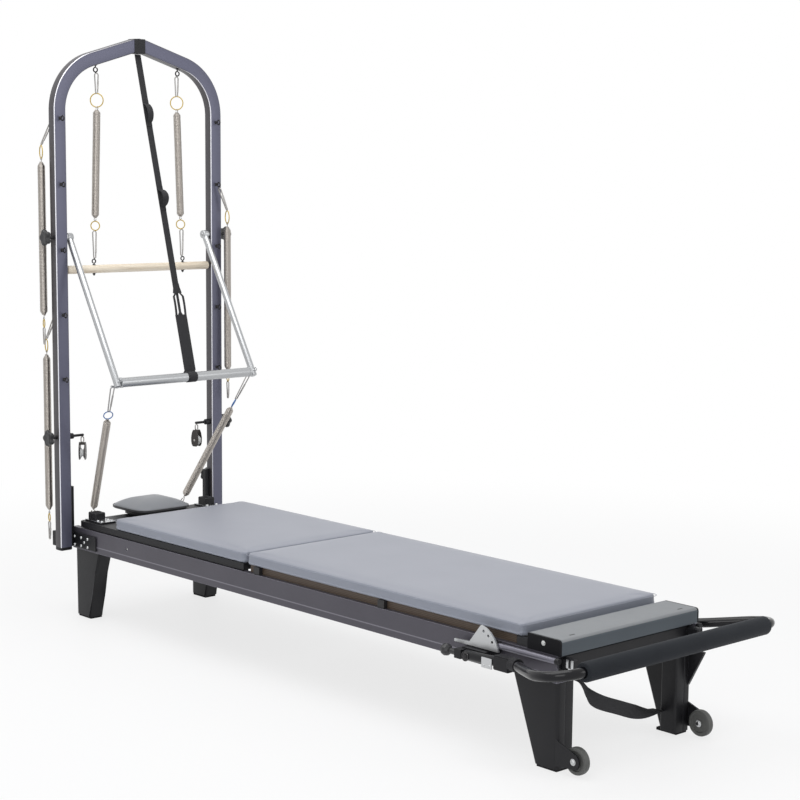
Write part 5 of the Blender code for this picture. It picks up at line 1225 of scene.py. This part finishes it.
def settle(made):
    """Short cloth run that swells a pad's cover into slight tension waves over its foam."""
    even = made.modifiers.new("even", "REMESH")
    even.mode = "VOXEL"
    even.voxel_size = VOXEL
    bpy.context.view_layer.objects.active = made
    bpy.ops.object.modifier_apply(modifier="even")
    first = [vertex.co.copy() for vertex in made.data.vertices]
    lowest = min(place.z for place in first)
    held = made.vertex_groups.new(name="held")
    held.add([index for index, place in enumerate(first) if place.z < lowest + HELD_BAND], 1.0,
             "REPLACE")
    cover = made.modifiers.new("cover", "CLOTH")
    cover.settings.quality = 4
    cover.settings.use_pressure = True
    cover.settings.uniform_pressure_force = PRESSURE
    cover.settings.vertex_group_mass = "held"
    cover.settings.effector_weights.gravity = 0.0
    cover.point_cache.frame_start = 1
    cover.point_cache.frame_end = LAST_FRAME
    for moment in range(1, LAST_FRAME + 1):
        bpy.context.scene.frame_set(moment)
    settled = made.evaluated_get(bpy.context.evaluated_depsgraph_get())
    last = [vertex.co.copy() for vertex in settled.to_mesh().vertices]
    settled.to_mesh_clear()
    made.modifiers.remove(cover)
    made.vertex_groups.clear()
    for vertex, before, after in zip(made.data.vertices, first, last):
        step = after - before
        if step.length > SWELL:
            step *= SWELL / step.length
        vertex.co = before + step
    bpy.context.scene.frame_set(1)
    finer = made.modifiers.new("finer", "SUBSURF")
    finer.levels = finer.render_levels = 1


for name, x0, x1, body in PADS:
    slim = 0.0025
    shape = pad_shape(x0 + slim, x1 - slim, PAD_HALF - slim * 0.5, PAD_LOW, PAD_TOP - slim * 0.2,
                      PAD_CORNER, 0.0075, 0.0016, 0.003)
    made = finished(f"{name}_cover", shape, pad_vinyl, body, (name,), smooth=60.0)
    settle(made)
    shape = bmesh.new()
    seam(shape, x0, x1, PAD_HALF, PAD_TOP - 0.0085, PAD_CORNER, -0.0002 - slim * 0.3, 0.0008)
    finished(f"{name}_seam", shape, pad_vinyl, body)


# Headrest
# A domed dark cushion on a padded board, with a welt round its foot and a stitched seam
# where the cover's top meets its border.
REST_X, REST_HALF, REST_LOW, REST_TOP = (-0.045, 0.19), 0.124, 0.3933, 0.436
REST_EDGE, REST_CORNER = 0.0105, 0.06
shape = bmesh.new()
levels = [(0.004, REST_LOW), (0.0006, REST_LOW + 0.0025), (0.0, REST_LOW + 0.005),
          (0.001, REST_LOW + REST_EDGE - 0.0015)]
for step in range(1, 13):
    share = step / 12
    rise_here = 1 - (1 - share) ** 2.2
    levels.append((0.001 + 0.113 * share, REST_LOW + REST_EDGE
                   + (REST_TOP - REST_LOW - REST_EDGE) * rise_here))
rings = []
for inset, z in levels:
    corner = min(max(REST_CORNER - inset * 0.6, 0.002),
                 (REST_X[1] - REST_X[0]) / 2 - inset - 0.001)
    rings.append([shape.verts.new(head(x, y, z)) for x, y in
                  pad_outline(REST_X[0] + inset, REST_X[1] - inset, REST_HALF - inset, corner)])
skin(shape, rings)
made = finished("headrest_cover", shape, head_vinyl, "headrest",
                ("headrest_cushion",), smooth=75.0)
shape = bmesh.new()
seam(shape, REST_X[0], REST_X[1], REST_HALF, REST_LOW + REST_EDGE - 0.0006, REST_CORNER, 0.0003,
     0.0009)
seam(shape, REST_X[0], REST_X[1], REST_HALF, REST_LOW + 0.004, REST_CORNER, 0.0004, 0.0012)
welt_vinyl = surface("welt_vinyl", (0.016, 0.016, 0.018), (0.012, 0.012, 0.014), 0.5,
                     grain_scale=500.0, strength=0.3, specular=0.3)
finished("headrest_welt", shape, welt_vinyl, "headrest")
dress("headrest_board", black_coat)


# Standing platform
# A deck with a ribbed grey top, a rolled nose and a dark front edge, closed by black end
# caps with white button screws.
deck_side = surface("platform_edge", (0.07, 0.088, 0.105), (0.055, 0.07, 0.085), 0.48,
                    grain_scale=700.0, strength=0.25)
tree = deck_side.node_tree
ledge = wired(tree, "Mix", {"A": (0.006, 0.006, 0.008, 1.0)}, data_type="RGBA")
place = wired(tree, "TexCoord")
parts = wired(tree, "SeparateXYZ")
past = wired(tree, "Math", {1: 2.3845 - MID_X}, operation="GREATER_THAN")
shader = tree.nodes["Principled BSDF"]
before = shader.inputs["Base Color"].links[0].from_socket
join(tree, (place, "Object", parts, 0), (parts, "X", past, 0), (past, 0, ledge, "Factor"),
     (before, ledge.inputs["B"]), (ledge, "Result", shader, "Base Color"))
dress("standing_platform", deck_side)
deck, tree, shader = blank("platform_grip")
tone = placed(tree, mottle, Colour=(0.25, 0.262, 0.275), Other_Colour=(0.215, 0.226, 0.24),
              Scale=9.0, Roughness=0.55, Spread=0.1)
place = wired(tree, "TexCoord")
ribs = wired(tree, "TexWave", {"Scale": 75.0}, wave_type="BANDS", bands_direction="X")
relief = wired(tree, "Bump", {"Distance": 0.0004, "Strength": 0.5})
join(tree, (place, "Object", ribs, "Vector"), (ribs, "Fac", relief, "Height"),
     (tone, "Colour", shader, "Base Color"), (tone, "Roughness", shader, "Roughness"),
     (relief, "Normal", shader, "Normal"))
DECK_X, DECK_TOP, DECK_HALF = (2.385, 2.514), 0.392, 0.302
shape = bmesh.new()
outline = [(DECK_X[0] + 0.002, DECK_TOP + 0.0006), (DECK_X[1] - 0.0095, DECK_TOP + 0.0006)]
for step in range(1, 5):
    angle = math.radians(90 - 16 * step)
    outline.append((DECK_X[1] - 0.01 + 0.0106 * math.cos(angle),
                    DECK_TOP - 0.01 + 0.0106 * math.sin(angle)))
under = [(x - 0.0004, z - 0.0012) for x, z in reversed(outline)]
skin(shape, [[shape.verts.new(head(x, y, z)) for x, z in outline + under]
             for y in (-DECK_HALF + 0.001, DECK_HALF - 0.001)])
finished("platform_grip", shape, deck, "frame")
cap_black = surface("end_cap_plastic", (0.0065, 0.0065, 0.0085), (0.005, 0.005, 0.0065), 0.5,
                    grain_scale=800.0, strength=0.2, specular=0.15)
white_cap = surface("white_screw_cap", (0.72, 0.73, 0.73), (0.66, 0.67, 0.67), 0.35,
                    scale=40.0, grain_scale=900.0, strength=0.1)
for side, way in zip(BOTH, (-1, 1)):
    dress(f"platform_cap_{side}", cap_black)
    shape = bmesh.new()
    lathe(shape, head(2.4475, way * 0.3078, DECK_TOP - 0.019), (0, way, 0),
          [(0, 0.0075), (0.0008, 0.0075), (0.0022, 0.006), (0.003, 0.003)], 24)
    finished(f"platform_screw_{side}", shape, white_cap, "frame")
shape = bmesh.new()
for x, y in ((2.487, -0.232), (2.488, 0.25)):
    rings = [[shape.verts.new(head(x + d, y + w, z))
              for d, w in rounded_section(0.006, 0.022, 0.0029)]
             for z in (DECK_TOP + 0.0002, DECK_TOP + 0.0009)]
    skin(shape, rings)
finished("platform_slots", shape, black_coat, "frame")


# Carriage springs
# Five close-wound springs side by side on the spring bar under the mat, left unhooked
# from the carriage.
dress("spring_bar", black_coat)
BAR_X, SPRING_LONG, SPRING_PITCH_Y = 2.27, 0.37, 0.08
for count in range(5):
    y = (count - 2) * SPRING_PITCH_Y
    start = BAR_X - 0.015 - 0.004
    wound_spring(f"carriage_spring_{count + 1}", head(start, y, 0.286),
                 head(start - SPRING_LONG + 0.01, y, 0.286), 0.0042, 0.0132, 0.0019, "frame",
                 tip=0.45, taper=0.03, per_turn=11)


# Footbar
# One black tube bent to a wide loop with a foam grip, bright U clips beyond the rods' ends,
# pivot brackets, a quadrant plate with three stops and the lock pin with its ball.
ARM_Y, FLARE_Y = 0.366, 0.482
PIVOT_X, PIVOT_Z = 2.205, 0.298
CROSS_X, CROSS_Z = 2.689, 0.355
BEND_R, TUBE_R, GRIP_R = 0.075, 0.015, 0.0285
corner_x = CROSS_X - BEND_R
plan = [(PIVOT_X + x, y) for x, y in (
    (-0.0115, ARM_Y), (0.08, ARM_Y), (0.15, ARM_Y), (0.178, ARM_Y + 0.0025),
    (0.205, ARM_Y + 0.0105), (0.268, FLARE_Y - 0.0655), (0.33, FLARE_Y - 0.0275),
    (0.352, FLARE_Y - 0.015), (0.376, FLARE_Y - 0.0045))]
for step in range(13):
    angle = math.radians(7.5 * step)
    plan.append((corner_x + BEND_R * math.sin(angle), FLARE_Y - BEND_R * (1 - math.cos(angle))))


def arm_z(x):
    """The arm's height: level at the pivot and steeper towards the grip."""
    return PIVOT_Z + (CROSS_Z - PIVOT_Z) * max(0.0, (x - PIVOT_X) / (CROSS_X - PIVOT_X)) ** 1.6


half_path = [head(x, -y, arm_z(x)) for x, y in plan]
full_path = half_path + [Vector((p.x, -p.y, p.z)) for p in reversed(half_path)]
shape = bmesh.new()
tube(shape, full_path, TUBE_R, 24)
gloss_coat = surface("gloss_coat", (0.006, 0.006, 0.008), (0.004, 0.004, 0.006), 0.16,
                     grain_scale=1200.0, depth=0.0001, strength=0.1, specular=0.28)
finished("footbar_loop", shape, gloss_coat, "footbar", ("footbar_tube",))
foam = surface("foam_grip", (0.017, 0.02, 0.025), (0.013, 0.015, 0.019), 0.72, scale=14.0,
               grain_scale=260.0, depth=0.0006, strength=0.45, specular=0.2)
grip_half = FLARE_Y - BEND_R - 0.001
shape = bmesh.new()
lathe(shape, head(CROSS_X, -grip_half, CROSS_Z), (0, 1, 0),
      both_ends([(0.0, 0.016), (0.0, GRIP_R - 0.006), (0.0018, GRIP_R - 0.0018), (0.006, GRIP_R)],
                2 * grip_half), 40, closed=True)
finished("footbar_foam", shape, foam, "footbar", ("footbar_grip",))


def block(shape, low, high, bevel=0.0008):
    """A box with bevelled edges between two corners."""
    low, high = Vector(low), Vector(high)
    size = Matrix.Diagonal((*(high - low), 1.0))
    place = Matrix.Translation((low + high) / 2) @ size
    made = bmesh.ops.create_cube(shape, size=1.0, matrix=place)
    sides = list({edge for vert in made["verts"] for edge in vert.link_edges})
    bmesh.ops.bevel(shape, geom=sides, offset=bevel, segments=2, affect="EDGES")


clip_shape, cover_shape, cap_shape = bmesh.new(), bmesh.new(), bmesh.new()
for way in (-1, 1):
    hub = head(PIVOT_X, way * (ARM_Y + TUBE_R - 0.001), PIVOT_Z)
    lathe(cap_shape, hub, (0, way, 0), [(0, 0.0145), (0.003, 0.0145), (0.0036, 0.0138),
                                        (0.0036, 0.0112), (0.0026, 0.0106), (0.0026, 0.0078),
                                        (0.0044, 0.0072), (0.005, 0.0062), (0.005, 0.003)], 32)
    outer, inner = ARM_Y + TUBE_R + 0.003, ARM_Y - TUBE_R + 0.001
    middle = arm_z(PIVOT_X + 0.09)
    near_y, far_y = sorted((way * outer, way * (outer - 0.003)))
    block(clip_shape, head(PIVOT_X + 0.069, near_y, middle - 0.021),
          head(PIVOT_X + 0.111, far_y, middle + 0.01))
    for step in (0.079, 0.101):
        cap_screw(clip_shape, head(PIVOT_X + step, way * outer, middle - 0.013), (0, way, 0),
                  0.0036, 0.0016, 0.0018)
    middle = arm_z(PIVOT_X + 0.15)
    near_y, far_y = sorted((way * (outer - 0.0005), way * (inner - 0.004)))
    block(cover_shape, head(PIVOT_X + 0.1145, near_y, middle - 0.024),
          head(PIVOT_X + 0.176, far_y, middle + 0.0185), 0.003)
    for turn_of in range(6):
        x = PIVOT_X + 0.184 + 0.0056 * turn_of
        y = way * (ARM_Y + 0.0035 + 0.3 * (x - PIVOT_X - 0.178))
        wire_ring(cover_shape, head(x, y, arm_z(x)), (1, way * 0.3, 0.08), TUBE_R + 0.003,
                  0.0027, 26)
finished("footbar_pivot_caps", cap_shape, black_zinc, "footbar")
finished("footbar_straps", clip_shape, bolt_steel, "footbar")
finished("footbar_springs", cover_shape, black_coat, "footbar")
shape = bmesh.new()
for way in (-1, 1):
    near_y, far_y = sorted((way * 0.2884, way * 0.2902))
    for x0, x1, z0, z1 in ((2.5195, 2.546, 0.306, 0.3125), (2.5195, 2.528, 0.306, 0.337),
                           (2.5375, 2.546, 0.306, 0.337)):
        block(shape, head(x0, near_y, z0), head(x1, far_y, z1), 0.0004)
finished("platform_clips", shape, bolt_steel, "frame")
plate_silver = surface("zinc_plate", (0.58, 0.59, 0.6), (0.5, 0.51, 0.52), 0.34, metallic=0.9,
                       grain_scale=1200.0, strength=0.2, edge=(0.85, 0.86, 0.87),
                       edge_width=0.0008)
for side in BOTH:
    dress(f"footbar_bracket_{side}", black_coat)
dress("quadrant_plate", plate_silver)
dress("lock_pin", knob_plastic)
ROD_X, ROD_Y, ROD_Z, ROD_LONG = 2.272, 0.316, 0.333, 0.234
rod_metal = surface("rod_aluminium", (0.19, 0.185, 0.222), (0.16, 0.156, 0.188), 0.34,
                    metallic=0.5, along=(0.02, 1.0, 1.0), grain_scale=1400.0, strength=0.15)
for side, way in zip(BOTH, (-1, 1)):
    shape = bmesh.new()
    lathe(shape, head(ROD_X, way * ROD_Y, ROD_Z), (1, 0, 0), [(0, 0.0092), (ROD_LONG, 0.0092)], 28)
    finished(f"footbar_rod_{side}", shape, rod_metal, "frame")
    shape = bmesh.new()
    lathe(shape, head(ROD_X + ROD_LONG - 0.0005, way * ROD_Y, ROD_Z), (1, 0, 0),
          [(0, 0.0097), (0.0095, 0.01), (0.012, 0.0088), (0.0126, 0.006)], 28)
    finished(f"footbar_rod_cap_{side}", shape, black_coat, "frame")


# Webbing
# Black polyester webbing: the safety strap from the arch to the cross tube, with its two
# D-loops and sewn adjustment part, and the carry strap under the foot end.
webbing, tree, shader = blank("black_webbing")
tone = placed(tree, mottle, Colour=(0.01, 0.01, 0.012), Other_Colour=(0.017, 0.017, 0.02),
              Scale=30.0, Roughness=0.78, Spread=0.1)
place = wired(tree, "TexCoord")
rows_of = wired(tree, "TexWave", {"Scale": 150.0}, wave_type="BANDS", bands_direction="Y")
thread = wired(tree, "TexWave", {"Scale": 170.0}, wave_type="BANDS", bands_direction="Z")
woven = wired(tree, "Math", operation="MULTIPLY")
relief = wired(tree, "Bump", {"Distance": 0.0005, "Strength": 0.6})
join(tree, (place, "Object", rows_of, "Vector"), (place, "Object", thread, "Vector"),
     (rows_of, "Fac", woven, 0), (thread, "Fac", woven, 1), (woven, 0, relief, "Height"),
     (tone, "Colour", shader, "Base Color"), (tone, "Roughness", shader, "Roughness"),
     (relief, "Normal", shader, "Normal"))


def ribbon(shape, points, halves, thickness):
    """A flat strap along points; halves are the vectors from its middle to one edge."""
    points = [Vector(point) for point in points]
    rings = []
    for index, (point, half) in enumerate(zip(points, halves)):
        after = points[min(index + 1, len(points) - 1)]
        before = points[max(index - 1, 0)]
        normal = (after - before).normalized().cross(half.normalized()) * (thickness / 2)
        flat = half * (1 - 0.6 * thickness / half.length)
        rings.append([shape.verts.new(spot) for spot in (
            point + flat + normal, point + half, point + flat - normal,
            point - flat - normal, point - half, point - flat + normal)])
    skin(shape, rings)


STRAP_HALF, WEB_THICK = 0.014, 0.0024
strap_top = head(TOWER_X + 0.004, 0, ARCH_APEX_Z - 0.037)
strap_low = cross_at + Vector((-PTB_CROSS_R - 0.0012, 0.031, 0.004))
sideways = Vector((0, STRAP_HALF, 0))
shape = bmesh.new()
SPLIT, WIDE_FROM, WIDE_HALF = 0.735, 0.812, 0.0262
shares = [SPLIT * step / 12 for step in range(13)] + [SPLIT + 0.012, WIDE_FROM - 0.008,
                                                      WIDE_FROM + 0.004, 0.9, 0.985]
ribbon(shape, [strap_top.lerp(strap_low, share) for share in shares],
       [sideways * (0.42 if SPLIT < share < WIDE_FROM else 1.0) for share in shares], WEB_THICK)
made = finished("strap_webbing", shape, webbing, None, ("safety_strap",))
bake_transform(made)
down = (strap_low - strap_top).normalized()
flat_out = Vector((0, 1, 0)).cross(down).normalized()
if flat_out.x < 0:
    flat_out = -flat_out


def on_strap(share, off):
    """A point along the safety strap, lifted off its face."""
    return strap_top.lerp(strap_low, share) + flat_out * off


LOOPS = ((0.155, 0.212, 0.021), (0.423, 0.474, 0.03))
for number, (high_end, low_end, bulge) in enumerate(LOOPS):
    shape = bmesh.new()
    path_of = []
    for step in range(15):
        share = high_end + (low_end - high_end) * step / 14
        out = math.sin(math.pi * step / 14) ** 0.6
        path_of.append(on_strap(share, 0.0026 + bulge * out))
    ribbon(shape, path_of, [sideways * 0.92] * 15, WEB_THICK)
    for end_of in (high_end - 0.012, low_end):
        patch = [on_strap(end_of + 0.012 * step, 0.0025) for step in range(2)]
        ribbon(shape, patch, [sideways * 0.92] * 2, WEB_THICK)
    made = finished(f"strap_hand_loop_{number + 1}", shape, webbing, None)
    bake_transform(made)
shape = bmesh.new()
for across in (-1, 1):
    arms = []
    for step in range(9):
        share = SPLIT + (WIDE_FROM + 0.006 - SPLIT) * step / 8
        aside = 0.0205 * min(1.0, step / 2)
        arms.append(on_strap(share, 0.0026 + 0.004 * math.sin(step / 8 * math.pi))
                    + Vector((0, across * aside, 0)))
    ribbon(shape, arms, [sideways * 0.36] * 9, WEB_THICK)
patch = [on_strap(SPLIT - 0.02 + 0.01 * step, 0.0026) for step in range(4)]
ribbon(shape, patch, [sideways * size for size in (0.98, 1.05, 1.25, 1.45)], WEB_THICK)
wide = [on_strap(WIDE_FROM + (0.985 - WIDE_FROM) * step / 8, 0.0026) for step in range(9)]
wrap_r = PTB_CROSS_R + 0.0016
bar = cross_at + Vector((0, 0.019, 0))
for step in range(13):
    angle = math.radians(150 - 25 * step)
    wide.append(bar + Vector((wrap_r * math.cos(angle), 0, wrap_r * math.sin(angle))))
ribbon(shape, wide, [Vector((0, WIDE_HALF, 0))] * 10 + [Vector((0, WIDE_HALF * 0.78, 0))] * 12,
       WEB_THICK * 0.8)
made = finished("strap_wide_loop", shape, webbing, None)
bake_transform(made)
shape = bmesh.new()
rings = []
for y in (-0.024, -0.023, 0.023, 0.024):
    drop = abs(y) * math.tan(ARCH_SLOPE) * 0.55
    thin = 0.001 if abs(y) > 0.0235 else 0.0
    rings.append([shape.verts.new(head(TOWER_X + depth * (1 - thin / abs(depth)), y,
                                       ARCH_APEX_Z - 0.003 - drop + height * (1 - thin / 0.026)))
                  for depth, height in ((0.0222, 0.0266), (-0.0222, 0.0266),
                                        (-0.0222, -0.0275), (0.0222, -0.0275))])
skin(shape, rings)
finished("strap_sleeve", shape, webbing, "frame")

# The carry strap leaves the near leg on edge, turns over in a soft fold and hangs in a
# belly that faces the room, then turns on edge again at the far leg.
CARRY_X, CARRY_HALF = 2.455, 0.022
course = ((-0.23, 0.252, 4), (-0.195, 0.252, 6), (-0.165, 0.24, 8), (-0.146, 0.222, 14),
          (-0.124, 0.193, 28), (-0.104, 0.1745, 58), (-0.072, 0.157, 80), (-0.035, 0.1415, 88),
          (0.005, 0.127, 90), (0.045, 0.1115, 86), (0.085, 0.096, 74), (0.125, 0.085, 54),
          (0.165, 0.0775, 28), (0.198, 0.0725, 8), (0.23, 0.069, 4))
carried = []
for (y0, z0, turn0), (y1, z1, turn1) in zip(course, course[1:]):
    for step in range(3):
        share = step / 3
        carried.append((y0 + (y1 - y0) * share, z0 + (z1 - z0) * share,
                        turn0 + (turn1 - turn0) * share))
carried.append(course[-1])
spots = [head(CARRY_X - 0.022 * max(0.0, y / 0.23) ** 1.5, y, z) for y, z, turned_by in carried]
for _ in range(2):
    inner = [(a + b * 2 + c) / 4 for a, b, c in zip(spots, spots[1:], spots[2:])]
    spots = [spots[0]] + inner + [spots[-1]]
halves = []
for index, (y, z, turned_by) in enumerate(carried):
    way = (spots[min(index + 1, len(spots) - 1)] - spots[max(index - 1, 0)]).normalized()
    on_edge = (ahead - way * ahead.dot(way)).normalized()
    face_on = way.cross(on_edge)
    angle = math.radians(turned_by)
    halves.append((on_edge * math.cos(angle) + face_on * math.sin(angle)) * CARRY_HALF)
shape = bmesh.new()
ribbon(shape, spots, halves, WEB_THICK)
finished("carry_webbing", shape, webbing, "frame", ("carry_strap",), smooth=50.0)
